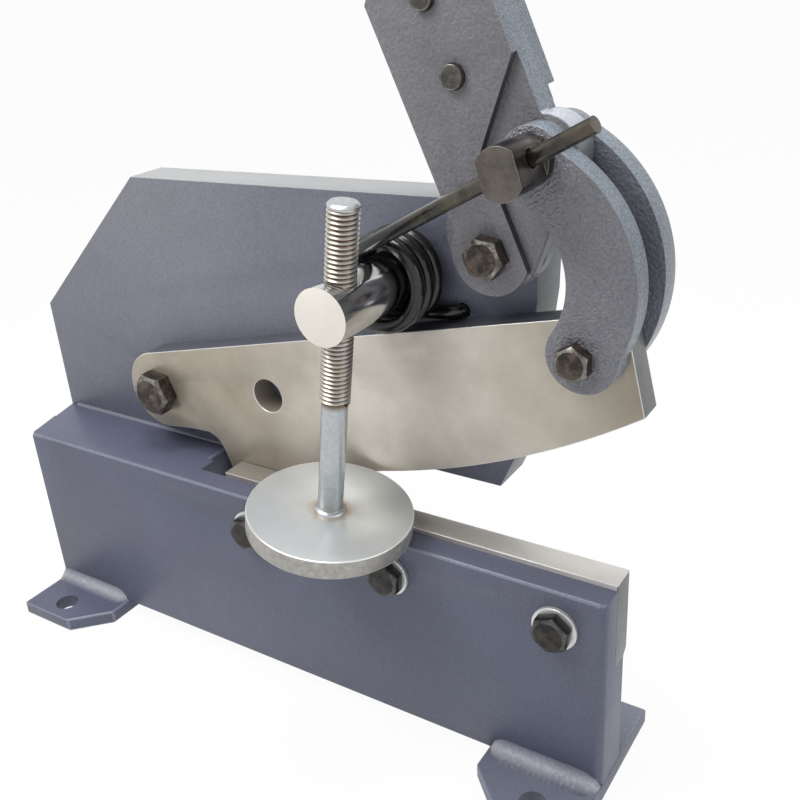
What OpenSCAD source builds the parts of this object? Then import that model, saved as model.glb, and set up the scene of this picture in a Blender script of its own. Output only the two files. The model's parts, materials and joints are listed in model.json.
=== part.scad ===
// Bench shear for flat sheet, 200 mm class: a welded base beam with two feet, a bolted lower
// blade, a swinging upper blade, a hand lever on a linkage, a torsion spring that lifts the
// lever, and a screw hold-down. X runs along the beam, Y away from the working side, Z up.

/* [Base] */
// Length of the base beam
beam_len = 316; // [290:1:340]
// Thickness of the base beam
beam_t = 20; // [18:0.5:24]
// Height of the base beam
beam_h = 90; // [84:1:100]
// How far the left end slants from the near face to the frame plate
end_skew = 10; // [0:1:14]
// Thickness of the block between beam and frame plate
block_t = 15.6; // [15:0.1:18]
// How far the block ends before the blade seat
block_back = 3.5; // [3:0.5:8]
// Length of the blade seat that is left open at the blade's left end
seat_room = 15.5; // [10:0.5:17]
// Depth of the blade seat below the beam's top
seat_depth = 36.9; // [34:0.1:38]
// Beam web left in front of the blade seat
web_t = 11; // [9:0.5:13]

/* [Feet] */
// Width of a foot along the beam
foot_w = 50.2; // [44:0.2:60]
// Thickness of a foot
foot_t = 7; // [6:0.5:10]
// Reach of a foot in front of the beam
foot_reach = 28; // [26:0.5:34]
// Reach of the left foot behind the frame plate
left_far_reach = 28; // [26:0.5:40]
// Reach of the right foot behind the beam
right_far_reach = 32; // [28:0.5:40]
// How far the left foot stands out past the beam's corner
foot_out = 1.2; // [0:0.1:4]
// Corner cut of a foot's near flange
foot_cut = 16.5; // [10:0.5:18]
// Radius of a bench bolt hole
foot_hole_r = 5.8; // [4.5:0.1:6.5]
// Distance of the left near hole in front of the beam
left_hole_y = 17.2; // [15:0.2:19]
// Distance of the right near hole in front of the beam
right_hole_y = 18.6; // [15:0.2:20]
// Distance of a bench hole from its foot's outer edge
hole_inset = 21.2; // [18:0.2:30]
// Distance of a far bench hole from its foot's far edge
far_hole_edge = 14; // [12:0.5:16]

/* [Frame plate] */
// Thickness of the frame plate
frame_t = 20; // [16:0.5:24]
// Height of the frame plate's left edge above the beam
shoulder_up = 58.6; // [50:0.5:66]
// Place of the frame plate's upper left corner along the beam
crest_x = 68.6; // [60:0.5:76]
// Height of the frame plate's upper left corner above the beam
crest_up = 130.8; // [124:0.2:134]
// Radius of the frame plate's nose round the lever pivot
nose_r = 18.5; // [17:0.5:19]
// Height of the open throat above the beam
throat_up = 16; // [10:0.5:20]
// Left end of the throat
throat_x = 113; // [108:1:125]

/* [Lower blade] */
// Length of the lower blade
lower_len = 191.5; // [180:0.5:195]
// Height of the lower blade
lower_h = 39; // [36:0.5:42]
// Thickness of each blade
blade_t = 12; // [11:0.1:12]
// Chamfer along the lower blade's bottom edge
lower_chamfer = 3; // [1:0.5:4]

/* [Upper blade] */
// Radius of the blade's round end at its pivot
blade_end_r = 19.3; // [18:0.1:20]
// Slope of the blade's top edge in degrees
blade_top_deg = 13; // [12:0.1:14]
// Radius of the curved cutting edge
cut_edge_r = 351.8; // [340:1:365]
// Radius of the spare hole in the upper blade
spare_hole_r = 8; // [6:0.5:9]
// Gap between the two blades' cutting planes
blade_gap = 0.3; // [0.1:0.05:0.4]

/* [Lever] */
// Lean of the lever from upright at rest, in degrees
lever_lean = 23; // [21:0.5:25]
// Thickness of the lever's front plate
lever_front_t = 3.3; // [3:0.1:3.6]
// Thickness of the lever's ear plate
lever_ear_t = 6; // [5:0.5:6]
// Width of the lever's plates
lever_w = 45.6; // [42:0.2:48]
// Distance of the plates' left edge from the pivot's line
lever_left = 9.8; // [9:0.1:12]
// Height of the lever's plates above the pivot
lever_top = 104; // [98:1:110]
// Radius of the lever's round end at its pivot
lever_end_r = 15.2; // [14:0.2:16]
// Radius of the round boss behind the lever's ear
lever_boss_r = 20.5; // [18:0.5:22]
// Radius of the ear round the swivel pin
ear_r = 13; // [12:0.5:14]

/* [Handle] */
// Thickness of the handle strap
strap_t = 6.2; // [5:0.2:7]
// Width of the strap's tongue inside the handle tube
tongue_w = 26; // [22:0.5:26]
// Outer radius of the handle tube
tube_r = 16; // [15.5:0.25:18]
// Wall of the handle tube
tube_wall = 2.4; // [2:0.1:2.5]
// Length of the handle tube
tube_len = 300; // [240:5:360]
// Wall of the rubber grip
grip_wall = 3; // [2:0.25:4]
// Length of the rubber grip
grip_len = 118; // [90:2:130]

/* [Links] */
// Thickness of a link
link_t = 10; // [8:0.5:11]
// Outer radius of the front link's curve
front_link_r = 51.5; // [49:0.5:54]
// Outer radius of the rear link's curve
rear_link_r = 56.5; // [54:0.5:58]
// Inner radius of the links' curve
link_inner_r = 31; // [29:0.5:33]
// Radius of a link's round upper end
link_upper_r = 11; // [10.5:0.25:12]
// Radius of a link's round lower end
link_lower_r = 13.4; // [12.5:0.1:14.5]

/* [Swivel pin] */
// Radius of the swivel pin's head
pin_head_r = 8.75; // [8.5:0.25:10]
// Distance between the head's two flats
pin_flats = 13.4; // [12:0.2:15]
// Angle by which the flats lean from square to the spring's leg
pin_flats_turn = 11; // [0:1:15]
// Radius of the swivel pin's shank
pin_shank_r = 7; // [6:0.25:8]
// Length of the head's round collar
pin_collar = 4; // [3:0.25:5]

/* [Spring] */
// Diameter of the spring wire
wire_d = 5.5; // [4:0.1:5.8]
// Mean radius of the coils
coil_r = 16.5; // [15.5:0.25:17.5]
// Advance of the coils per turn
coil_pitch = 6.65; // [6.2:0.05:7]
// Distance of the long leg's line from the coil axis
leg_offset = 15; // [14.5:0.1:16]
// How far the long leg reaches past the swivel pin
leg_past = 31.4; // [20:0.2:33]

/* [Hold-down] */
// Radius of the hold-down post
post_r = 11; // [10:0.25:11.5]
// Distance of the post's near face in front of the beam
post_face = 24.3; // [22:0.1:26]
// Distance of the rod's axis in front of the beam
rod_front = 12.6; // [12.6:0.1:14]
// Lean of the rod at rest, in degrees
rod_lean = 9; // [0:0.5:12]
// Radius of the rod's threaded part
rod_r = 5.9; // [5:0.1:6]
// Radius of the rod's plain shank
shank_r = 5.1; // [4:0.1:5.2]
// Length of rod above the post's axis
rod_above = 39.1; // [30:0.1:48]
// Length of thread below the post's axis
thread_below = 39.5; // [30:0.5:50]
// Distance from the post's axis to the disc's upper face
disc_drop = 88.5; // [80:0.1:88.6]
// Radius of the hold-down disc
disc_r = 33.8; // [28:0.1:34]
// Thickness of the hold-down disc
disc_t = 8.2; // [6:0.1:8.4]

/* [Bolts] */
// Width across flats of a lower blade bolt
blade_bolt_af = 14; // [13:0.5:16]
// Shank radius of a lower blade bolt
blade_bolt_r = 5; // [4:0.25:5]
// Radius of a lower blade washer
blade_washer_r = 9.25; // [8.5:0.25:10]
// Width across flats of the blade pivot bolt
blade_pivot_af = 19; // [17:0.5:19]
// Shank radius of the blade pivot bolt
blade_pivot_r = 6; // [5:0.25:6]
// Width across flats of the lever pivot bolt
lever_pivot_af = 14; // [13:0.5:17]
// Shank radius of the lever pivot bolt
lever_pivot_r = 5; // [4:0.25:5]
// Width across flats of the link bolt
link_bolt_af = 12; // [11:0.5:14]
// Shank radius of the link bolt
link_bolt_r = 4; // [3.5:0.25:4]
// Radius of the two bolts that hold the handle strap
strap_bolt_r = 4.25; // [4:0.25:5]

/* [Hidden] */
$fn = 72;

// Clearances and cuts
over = 1;
run_gap = 0.3;
face_gap = 0.2;
fit_gap = 0.06;
bolt_gap = 0.4;

// Planes across the object
seat_y = web_t;
cut_y = seat_y + blade_t;
upper_y = cut_y + blade_gap;
frame_y = beam_t + block_t;
rear_y = frame_y + frame_t;
base_d = beam_t + block_t;

// Places that follow from the beam: the blade seat, the block and the frame plate's corners
seat_x = beam_len - lower_len - seat_room;
seat_z = beam_h - seat_depth;
block_len = seat_x - block_back;
shoulder_z = beam_h + shoulder_up;
crest_z = beam_h + crest_up;
throat_z = beam_h + throat_up;

// Pivot places on the working face
blade_pivot_x = 77;
blade_pivot_z = beam_h + 30;
lever_pivot_x = 261;
lever_pivot_z = beam_h + 119.5;
link_pivot_x = 297;
link_pivot_z = beam_h + 88.3;
// Place of the swivel pin in the lever's own axes
pin_s = 31.6;
pin_t = 25.7;
pin_x = lever_pivot_x + pin_s * cos(lever_lean) - pin_t * sin(lever_lean);
pin_z = lever_pivot_z + pin_s * sin(lever_lean) + pin_t * cos(lever_lean);
post_x = 217.8;
post_z = beam_h + 105.2;

// Model origin: midway between the left foot's two bench holes, on its underside
left_far_y = rear_y + left_far_reach - far_hole_edge;
right_far_y = beam_t + right_far_reach - far_hole_edge;
origin_x = hole_inset - foot_out;
origin_y = (left_far_y - left_hole_y) / 2;

// Bolt heads and nuts: height as a share of the shank's radius
head_share = 1.28;
nut_share = 1.6;
tip_share = 0.5;

module place() {
    translate([-origin_x, -origin_y, foot_t]) children();
}

module slab(y0, t) {
    translate([0, y0 + t, 0]) rotate([90, 0, 0]) linear_extrude(t) children();
}

module bar_y(x, z, r, y0, y1) {
    translate([x, y0, z]) rotate([-90, 0, 0]) cylinder(r = r, h = y1 - y0);
}

module hex_y(x, z, af, y0, y1, turn) {
    translate([x, y0, z]) rotate([-90, 0, 0]) rotate([0, 0, turn])
        cylinder(d = af / cos(30), h = y1 - y0, $fn = 6);
}

module spot(x, z, r) {
    translate([x, z]) circle(r);
}

// Base beam with its slanted left end and the seat for the lower blade
module base_beam() {
    color([0.42, 0.44, 0.50]) place() difference() {
        linear_extrude(beam_h) polygon([[0, 0], [beam_len, 0], [beam_len, beam_t],
            [-end_skew * beam_t / base_d, beam_t]]);
        translate([seat_x, seat_y, seat_z])
            cube([beam_len - seat_x + over, beam_t - seat_y + over, beam_h - seat_z + over]);
        for (x = bolt_x) bar_y(x, bolt_z, blade_bolt_r + bolt_gap, -over, seat_y + over);
    }
}

// Block that spaces the frame plate behind the beam
module spacer_block() {
    color([0.40, 0.42, 0.48]) place() linear_extrude(beam_h) polygon([
        [-end_skew * beam_t / base_d, beam_t], [block_len, beam_t], [block_len, base_d],
        [-end_skew, base_d]]);
}

// Frame plate: outline points run anticlockwise from the throat's foot
nose_x = lever_pivot_x - 6.4 * nose_r / 18.5;
nose_z = lever_pivot_z - 3.1 * nose_r / 18.5;
throat_cut = 12;
arm_end_x = 255.6;
arm_mid_x = 262.3;
arm_mid_z = throat_z + 14.5;
arm_top_x = 272.2;
arm_top_z = nose_z - nose_r;
post_hole_r = 8;
// An edge that runs into a round end starts just inside the round's own tangent
tangent_share = 0.996;

module frame_outline() {
    difference() {
        union() {
            polygon([[throat_x, 0], [throat_x, throat_z - throat_cut],
                [throat_x + throat_cut, throat_z], [arm_end_x, throat_z],
                [arm_mid_x, arm_mid_z], [arm_top_x, arm_top_z],
                [nose_x + tangent_share * nose_r, nose_z],
                [nose_x, nose_z + tangent_share * nose_r], [crest_x, crest_z],
                [-end_skew, shoulder_z], [-end_skew, 0]]);
            spot(nose_x, nose_z, nose_r);
        }
        spot(blade_pivot_x, blade_pivot_z, blade_pivot_r + fit_gap);
        spot(lever_pivot_x, lever_pivot_z, lever_pivot_r + fit_gap);
        spot(post_x, post_z, post_hole_r + fit_gap);
    }
}

module frame_plate() {
    color([0.50, 0.51, 0.56]) place() difference() {
        slab(frame_y, frame_t) frame_outline();
        bar_y(hook_x, hook_z, wire_d / 2 + bolt_gap, frame_y - over, frame_y + hook_depth + over);
    }
}

// Feet: flat plates with one cut corner at the near, inner side
module foot_outline(w, near, far, cut) {
    polygon([[0, -near], [w - cut, -near], [w, cut - near], [w, far], [0, far]]);
}

module left_foot() {
    color([0.42, 0.44, 0.50]) place() translate([-foot_out, 0, -foot_t]) difference() {
        linear_extrude(foot_t)
            foot_outline(foot_w, foot_reach, rear_y + left_far_reach, foot_cut);
        for (y = [-left_hole_y, left_far_y]) translate([hole_inset, y, -over])
            cylinder(r = foot_hole_r, h = foot_t + 2 * over);
    }
}

module right_foot() {
    color([0.42, 0.44, 0.50]) place() translate([beam_len + foot_out / 3, 0, -foot_t])
        mirror([1, 0, 0]) difference() {
            linear_extrude(foot_t)
                foot_outline(foot_w, foot_reach, beam_t + right_far_reach, foot_cut);
            for (y = [-right_hole_y, right_far_y]) translate([hole_inset, y, -over])
                cylinder(r = foot_hole_r, h = foot_t + 2 * over);
        }
}

// Lower blade, its three bolts and their washers
first_bolt_in = 22.7;
last_bolt_in = 19.8;
bolt_gap_x = (lower_len - first_bolt_in - last_bolt_in) / 2;
bolt_x = [for (i = [2:-1:0]) beam_len - last_bolt_in - i * bolt_gap_x];
bolt_z = seat_z + lower_h / 2 + 1.6;
blade_head_t = 5.2;
blade_wall = 1.5;
washer_t = 2;

module lower_blade() {
    color([0.70, 0.66, 0.60]) place() difference() {
        translate([beam_len - lower_len, 0, 0]) rotate([90, 0, 90]) linear_extrude(lower_len)
            polygon([[seat_y, seat_z], [cut_y - lower_chamfer, seat_z],
                [cut_y, seat_z + lower_chamfer], [cut_y, seat_z + lower_h],
                [seat_y, seat_z + lower_h]]);
        for (x = bolt_x)
            bar_y(x, bolt_z, blade_bolt_r + fit_gap, seat_y - over, cut_y - blade_wall);
    }
}

module lower_blade_bolts() {
    color([0.16, 0.15, 0.14]) place() for (x = bolt_x) {
        hex_y(x, bolt_z, blade_bolt_af, -washer_t - blade_head_t, -washer_t, -21);
        bar_y(x, bolt_z, blade_bolt_r, -washer_t, cut_y - blade_wall - face_gap);
    }
}

module lower_blade_washers() {
    color([0.60, 0.60, 0.58]) place() for (x = bolt_x) difference() {
        bar_y(x, bolt_z, blade_washer_r, -washer_t, 0);
        bar_y(x, bolt_z, blade_bolt_r + bolt_gap, -washer_t - over, over);
    }
}

// Upper blade: its outline is given from its pivot
edge_cx = 47;
edge_cz = cut_edge_r - 22.8;
edge_left = 129.2;
edge_right = 241.9;
edge_right_z = edge_cz - sqrt(pow(cut_edge_r, 2) - pow(edge_right - edge_cx, 2));
edge_left_z = edge_cz - sqrt(pow(cut_edge_r, 2) - pow(edge_left - edge_cx, 2));
top_corner_x = 233.2;
heel_x = 42;
heel_z = -38;
heel_side_x = 40.2;
heel_side_z = -32.8;
neck = [[16.8, -17.3], [28.5, -16.7], [33.8, -19], [37, -23.8]];
neck_deg = 9;
spare_x = 68.9;
spare_z = 10.5;
// Slot for the link bolt: the open pivot of the linkage
slot_deg = 25.8;
slot_back = 4.9;
slot_ahead = 9.6;
slot_r = link_bolt_r + 1.2;
slot_x = link_pivot_x - blade_pivot_x;
slot_z = link_pivot_z - blade_pivot_z;

function blade_top(x) = x * tan(blade_top_deg) + blade_end_r / cos(blade_top_deg);

module blade_outline() {
    difference() {
        union() {
            circle(blade_end_r);
            polygon(concat(neck, [[heel_side_x, heel_side_z], [heel_x, heel_z],
                [edge_left, edge_left_z], [edge_right, edge_right_z],
                [top_corner_x, blade_top(top_corner_x)],
                [-tangent_share * blade_end_r * sin(blade_top_deg),
                tangent_share * blade_end_r * cos(blade_top_deg)],
                [-blade_end_r / 2, -blade_end_r / 2], [blade_end_r * sin(neck_deg),
                -tangent_share * blade_end_r * cos(neck_deg)]]));
            intersection() {
                polygon([[edge_left, edge_left_z - edge_right],
                    [edge_right, edge_left_z - edge_right], [edge_right, edge_right_z],
                    [edge_left, 0]]);
                translate([edge_cx, edge_cz]) circle(cut_edge_r, $fn = 360);
            }
        }
        circle(blade_pivot_r + fit_gap);
        spot(spare_x, spare_z, spare_hole_r);
        translate([slot_x, slot_z]) rotate(slot_deg) {
            translate([-slot_back, 0]) circle(slot_r);
            translate([slot_ahead, 0]) circle(slot_r);
            translate([-slot_back, -slot_r]) square([slot_back + slot_ahead, 2 * slot_r]);
        }
    }
}

module upper_blade() {
    color([0.72, 0.68, 0.61]) place() translate([blade_pivot_x, 0, blade_pivot_z])
        slab(upper_y, blade_t) blade_outline();
}

// Blade pivot: bolt through blade and frame plate, washer and nut behind
module blade_pivot_bolt() {
    head = head_share * blade_pivot_r;
    color([0.15, 0.14, 0.13]) place() {
        hex_y(blade_pivot_x, blade_pivot_z, blade_pivot_af, upper_y - face_gap - head,
            upper_y - face_gap, 7);
        bar_y(blade_pivot_x, blade_pivot_z, blade_pivot_r, upper_y - face_gap - head / 2,
            rear_y + washer_t + (nut_share + tip_share) * blade_pivot_r);
    }
}

module blade_pivot_nut() {
    color([0.20, 0.19, 0.18]) place() difference() {
        hex_y(blade_pivot_x, blade_pivot_z, blade_pivot_af, rear_y + washer_t,
            rear_y + washer_t + nut_share * blade_pivot_r, 0);
        bar_y(blade_pivot_x, blade_pivot_z, blade_pivot_r + fit_gap, rear_y,
            rear_y + washer_t + nut_share * blade_pivot_r + over);
    }
}

// Lever: three welded plates, drawn in the lever's own axes from its pivot
lever_y = upper_y - lever_front_t;
lever_back_y = upper_y + lever_ear_t;
lever_back_t = frame_y - run_gap - lever_back_y;
lever_right = lever_w - lever_left;
stem_right = 11.7;
step_low = 34;
step_high = 59;
top_cut = 10;
ear_low_s = 23.1;
ear_low_t = -0.1;
ear_tip_t = -12.1;
ear_top_t = 37;
boss_t = 5;

module lever_slab(y0, t) {
    translate([lever_pivot_x, 0, lever_pivot_z]) rotate([0, -lever_lean, 0])
        slab(y0, t) children();
}

module lever_blank(low) {
    polygon([[-lever_left, low], [lever_right, low], [lever_right, lever_top],
        [-lever_left + top_cut, lever_top], [-lever_left, lever_top - top_cut]]);
}

module lever_holes() {
    circle(lever_pivot_r + fit_gap);
    spot(pin_s, pin_t, pin_shank_r + fit_gap);
}

module strap_bolt_holes(r) {
    for (t = strap_bolt_t) spot(strap_bolt_s, t, r);
}

module lever_front_plate() {
    color([0.46, 0.46, 0.50]) place() lever_slab(lever_y, lever_front_t) difference() {
        union() {
            lever_blank(step_high);
            polygon([[-lever_left, 0], [stem_right, 0], [stem_right, step_low],
                [lever_right, step_high], [-lever_left, step_high]]);
            intersection() {
                circle(lever_end_r);
                translate([-2 * lever_end_r, -lever_end_r])
                    square([2 * lever_end_r + stem_right, 2 * lever_end_r]);
            }
        }
        lever_holes();
        strap_bolt_holes(strap_bolt_r + fit_gap);
    }
}

module lever_ear_plate() {
    color([0.44, 0.44, 0.48]) place() lever_slab(upper_y, lever_ear_t) difference() {
        union() {
            lever_blank(ear_top_t);
            polygon([[-lever_left, 0], [0, 0], [stem_right, ear_tip_t], [ear_low_s, ear_low_t],
                [pin_s + ear_r, pin_t], [lever_right, ear_top_t], [-lever_left, ear_top_t]]);
            circle(lever_end_r);
            spot(pin_s, pin_t, ear_r);
        }
        lever_holes();
        strap_bolt_holes(strap_bolt_r + fit_gap);
    }
}

module lever_back_plate() {
    color([0.44, 0.45, 0.50]) place() lever_slab(lever_back_y, lever_back_t) difference() {
        union() {
            lever_blank(ear_top_t);
            polygon([[-lever_left, 0], [lever_boss_r, boss_t], [pin_s + ear_r, pin_t],
                [lever_right, ear_top_t], [-lever_left, ear_top_t]]);
            spot(0, boss_t, lever_boss_r);
            spot(pin_s, pin_t, ear_r);
        }
        lever_holes();
        strap_bolt_holes(strap_bolt_r + fit_gap);
    }
}

// Handle: a flat strap bolted behind the lever's plates, a tube over its tongue, a grip
strap_bolt_s = 12.7;
strap_bolt_t = [60, 86.8];
strap_y = lever_back_y + lever_back_t;
strap_step_s = 33.2;
strap_low_t = 38;
strap_low_cut = 2.5;
strap_step_t = 45.9;
strap_mid_s = lever_w / 2 - lever_left;
strap_neck_t = lever_top + 22;
tongue_len = 40;
tube_y = strap_y + strap_t / 2;

module handle_strap() {
    color([0.42, 0.44, 0.50]) place() lever_slab(strap_y, strap_t) difference() {
        polygon([[-lever_left, strap_low_t], [strap_step_s - strap_low_cut, strap_low_t],
            [strap_step_s, strap_low_t + strap_low_cut], [strap_step_s, strap_step_t],
            [lever_right, strap_step_t], [lever_right, lever_top],
            [strap_mid_s + tongue_w / 2, strap_neck_t],
            [strap_mid_s + tongue_w / 2, strap_neck_t + tongue_len],
            [strap_mid_s - tongue_w / 2, strap_neck_t + tongue_len],
            [strap_mid_s - tongue_w / 2, strap_neck_t], [-lever_left, lever_top]]);
        strap_bolt_holes(strap_bolt_r + fit_gap);
    }
}

module along_lever(t) {
    translate([lever_pivot_x, tube_y, lever_pivot_z]) rotate([0, -lever_lean, 0])
        translate([strap_mid_s, 0, t]) children();
}

module handle_tube() {
    color([0.42, 0.44, 0.50]) place() along_lever(strap_neck_t) difference() {
        cylinder(r = tube_r, h = tube_len);
        translate([0, 0, -over]) cylinder(r = tube_r - tube_wall, h = tube_len + 2 * over);
    }
}

module handle_grip() {
    color([0.10, 0.10, 0.11]) place() along_lever(strap_neck_t + tube_len - grip_len) {
        difference() {
            cylinder(r = tube_r + grip_wall, h = grip_len + grip_wall);
            translate([0, 0, -over]) cylinder(r = tube_r, h = grip_len + over);
        }
    }
}

module strap_bolts() {
    head = head_share * strap_bolt_r;
    color([0.25, 0.24, 0.22]) place() translate([lever_pivot_x, 0, lever_pivot_z])
        rotate([0, -lever_lean, 0]) for (t = strap_bolt_t) {
            bar_y(strap_bolt_s, t, strap_bolt_r, lever_y - bolt_show, strap_y + strap_t);
            hex_y(strap_bolt_s, t, blade_bolt_af, strap_y + strap_t, strap_y + strap_t + head, 0);
        }
}
bolt_show = 2.4;

// Lever pivot: bolt through lever and frame plate, washer and nut behind
module lever_pivot_bolt() {
    head = head_share * lever_pivot_r;
    color([0.20, 0.18, 0.16]) place() {
        hex_y(lever_pivot_x, lever_pivot_z, lever_pivot_af, lever_y - face_gap - head,
            lever_y - face_gap, 7);
        bar_y(lever_pivot_x, lever_pivot_z, lever_pivot_r, lever_y - face_gap - head / 2,
            rear_y + washer_t + (nut_share + tip_share) * lever_pivot_r);
    }
}

module lever_pivot_nut() {
    color([0.20, 0.19, 0.18]) place() difference() {
        hex_y(lever_pivot_x, lever_pivot_z, lever_pivot_af, rear_y + washer_t,
            rear_y + washer_t + nut_share * lever_pivot_r, 0);
        bar_y(lever_pivot_x, lever_pivot_z, lever_pivot_r + fit_gap, rear_y,
            rear_y + washer_t + nut_share * lever_pivot_r + over);
    }
}

module washer(x, z, r) {
    difference() {
        bar_y(x, z, washer_share * r, rear_y, rear_y + washer_t);
        bar_y(x, z, r + fit_gap, rear_y - over, rear_y + washer_t + over);
    }
}
washer_share = 2.1;

module pivot_washers() {
    color([0.60, 0.60, 0.58]) place() {
        washer(blade_pivot_x, blade_pivot_z, blade_pivot_r);
        washer(lever_pivot_x, lever_pivot_z, lever_pivot_r);
    }
}

// Links: curved plates in front of and behind the blade, from swivel pin to link bolt
link_front_y = upper_y - run_gap - link_t;
link_cx = lever_pivot_x + 5.5;
link_cz = lever_pivot_z - 6.5;
rear_cx = link_cx - 3.5;
rear_cz = link_cz - 1;
inner_cx = lever_pivot_x + 1;
inner_cz = lever_pivot_z - 5.5;
boss_cx = link_pivot_x + 2;
boss_cz = link_pivot_z + 1.2;
link_low_deg = -38;
pin_deg = atan2(pin_z - inner_cz, pin_x - inner_cx);

module sector(cx, cz, r, a0, a1) {
    reach = 2 * r;
    am = (a0 + a1) / 2;
    polygon([[cx, cz], [cx + reach * cos(a0), cz + reach * sin(a0)],
        [cx + reach * cos(am), cz + reach * sin(am)],
        [cx + reach * cos(a1), cz + reach * sin(a1)]]);
}

module link_outline(cx, cz, r) {
    difference() {
        union() {
            intersection() {
                difference() {
                    spot(cx, cz, r);
                    spot(inner_cx, inner_cz, link_inner_r);
                }
                sector(inner_cx, inner_cz, r, link_low_deg, pin_deg);
            }
            spot(pin_x, pin_z, link_upper_r);
            spot(boss_cx, boss_cz, link_lower_r);
        }
        spot(pin_x, pin_z, pin_shank_r + fit_gap);
        spot(link_pivot_x, link_pivot_z, link_bolt_r + fit_gap);
    }
}

module front_link() {
    color([0.46, 0.46, 0.50]) place() slab(link_front_y, link_t)
        link_outline(link_cx, link_cz, front_link_r);
}

module rear_link() {
    color([0.42, 0.44, 0.50]) place() slab(frame_y, link_t)
        link_outline(rear_cx, rear_cz, rear_link_r);
}

module link_bolt() {
    head = head_share * link_bolt_r;
    color([0.20, 0.19, 0.17]) place() {
        hex_y(link_pivot_x, link_pivot_z, link_bolt_af, link_front_y - head, link_front_y, -29);
        bar_y(link_pivot_x, link_pivot_z, link_bolt_r, link_front_y - head / 2,
            frame_y + link_t + (nut_share + tip_share) * link_bolt_r);
    }
}

module link_nut() {
    color([0.20, 0.19, 0.18]) place() difference() {
        hex_y(link_pivot_x, link_pivot_z, link_bolt_af, frame_y + link_t,
            frame_y + link_t + nut_share * link_bolt_r, 10);
        bar_y(link_pivot_x, link_pivot_z, link_bolt_r + fit_gap, frame_y + link_t - over,
            frame_y + link_t + nut_share * link_bolt_r + over);
    }
}

// Swivel pin: head with two flats and a cross hole for the spring's long leg
pin_head_len = 21.8;
pin_face_y = link_front_y - face_gap - pin_head_len;
clip_t = 1.6;
clip_r = 10;
clip_y = frame_y + link_t + face_gap;
groove_r = 6;
pin_end_y = clip_y + clip_t + 2;
leg_dist = norm([pin_x - post_x, pin_z - post_z]);
leg_deg = atan2(pin_z - post_z, pin_x - post_x) - asin(leg_offset / leg_dist);
leg_hole_r = wire_d / 2 + bolt_gap;

module swivel_pin() {
    flat = link_front_y - face_gap - pin_collar - pin_face_y;
    color([0.33, 0.31, 0.29]) place() difference() {
        union() {
            bar_y(pin_x, pin_z, pin_head_r, pin_face_y, link_front_y - face_gap);
            bar_y(pin_x, pin_z, pin_shank_r, pin_face_y, clip_y);
            bar_y(pin_x, pin_z, groove_r, clip_y, clip_y + clip_t);
            bar_y(pin_x, pin_z, pin_shank_r, clip_y + clip_t, pin_end_y);
        }
        translate([pin_x, pin_face_y - over, pin_z]) rotate([0, pin_flats_turn - leg_deg, 0])
            for (side = [-1, 1]) translate([side * (pin_flats / 2 + pin_head_r)
                - pin_head_r, 0, -pin_head_r]) cube([2 * pin_head_r, flat + over,
                2 * pin_head_r]);
        translate([pin_x, leg_y, pin_z]) rotate([0, 90 - leg_deg, 0])
            rotate([-atan(leg_slope), 0, 0])
                cylinder(r = leg_hole_r, h = 4 * pin_head_r, center = true);
    }
}

module pin_clip() {
    color([0.35, 0.35, 0.35]) place() difference() {
        bar_y(pin_x, pin_z, clip_r, clip_y, clip_y + clip_t);
        bar_y(pin_x, pin_z, groove_r, clip_y - over, clip_y + clip_t + over);
    }
}

// Torsion spring: one wire from its hook in the frame plate, round the post, to the pin
first_deg = -84.8;
wind_deg = 360 * 4 + first_deg - (leg_deg + 90);
coil_rear_y = frame_y - wire_d / 2 - run_gap;
coil_front_y = coil_rear_y - coil_pitch * wind_deg / 360;
leg_y = pin_face_y + 11.4;
leg_run = leg_dist * cos(asin(leg_offset / leg_dist));
leg_slope = (leg_y - coil_front_y) / leg_run;
hook_depth = wire_d;
hook_reach = 21.6;
coil_start_x = post_x + coil_r * cos(first_deg);
coil_start_z = post_z + coil_r * sin(first_deg);
hook_x = coil_start_x + hook_reach * cos(first_deg + 90);
hook_z = coil_start_z + hook_reach * sin(first_deg + 90);
rings_per_turn = 8;
wire_sides = 6;
taper_deg = 150;

function ease(u) = u * u * (3 - 2 * u);
function coil_at(a) = let (f = first_deg - a, u = max(0, (a - wind_deg + taper_deg) / taper_deg),
    r = coil_r + (leg_offset - coil_r) * ease(u))
    [post_x + r * cos(f), coil_rear_y - coil_pitch * a / 360, post_z + r * sin(f)];
function hook_at(reach, y) = [coil_start_x + reach * cos(first_deg + 90), y,
    coil_start_z + reach * sin(first_deg + 90)];
leg_len = leg_run + leg_past;
leg_root = [post_x - leg_offset * sin(leg_deg), post_z + leg_offset * cos(leg_deg)];
function leg_at(d) = [leg_root[0] + d * cos(leg_deg), coil_front_y + leg_slope * d,
    leg_root[1] + d * sin(leg_deg)];
bend_share = 0.86;
coil_rings = ceil(wind_deg / 360 * rings_per_turn);
wire_path = concat(
    [hook_at(hook_reach, frame_y + hook_depth), hook_at(hook_reach, frame_y),
        hook_at(hook_reach * (1 + bend_share) / 2, coil_rear_y + wire_d / 8),
        hook_at(hook_reach * bend_share, coil_rear_y), hook_at(hook_reach / 2, coil_rear_y)],
    [for (i = [0:coil_rings]) coil_at(wind_deg * i / coil_rings)],
    [for (d = [1, 2, 4, 6]) leg_at(leg_len * d / 6 - (d < 6 ? leg_len / 12 : wire_d))],
    [leg_at(leg_len)]);
wire_n = len(wire_path);

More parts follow.
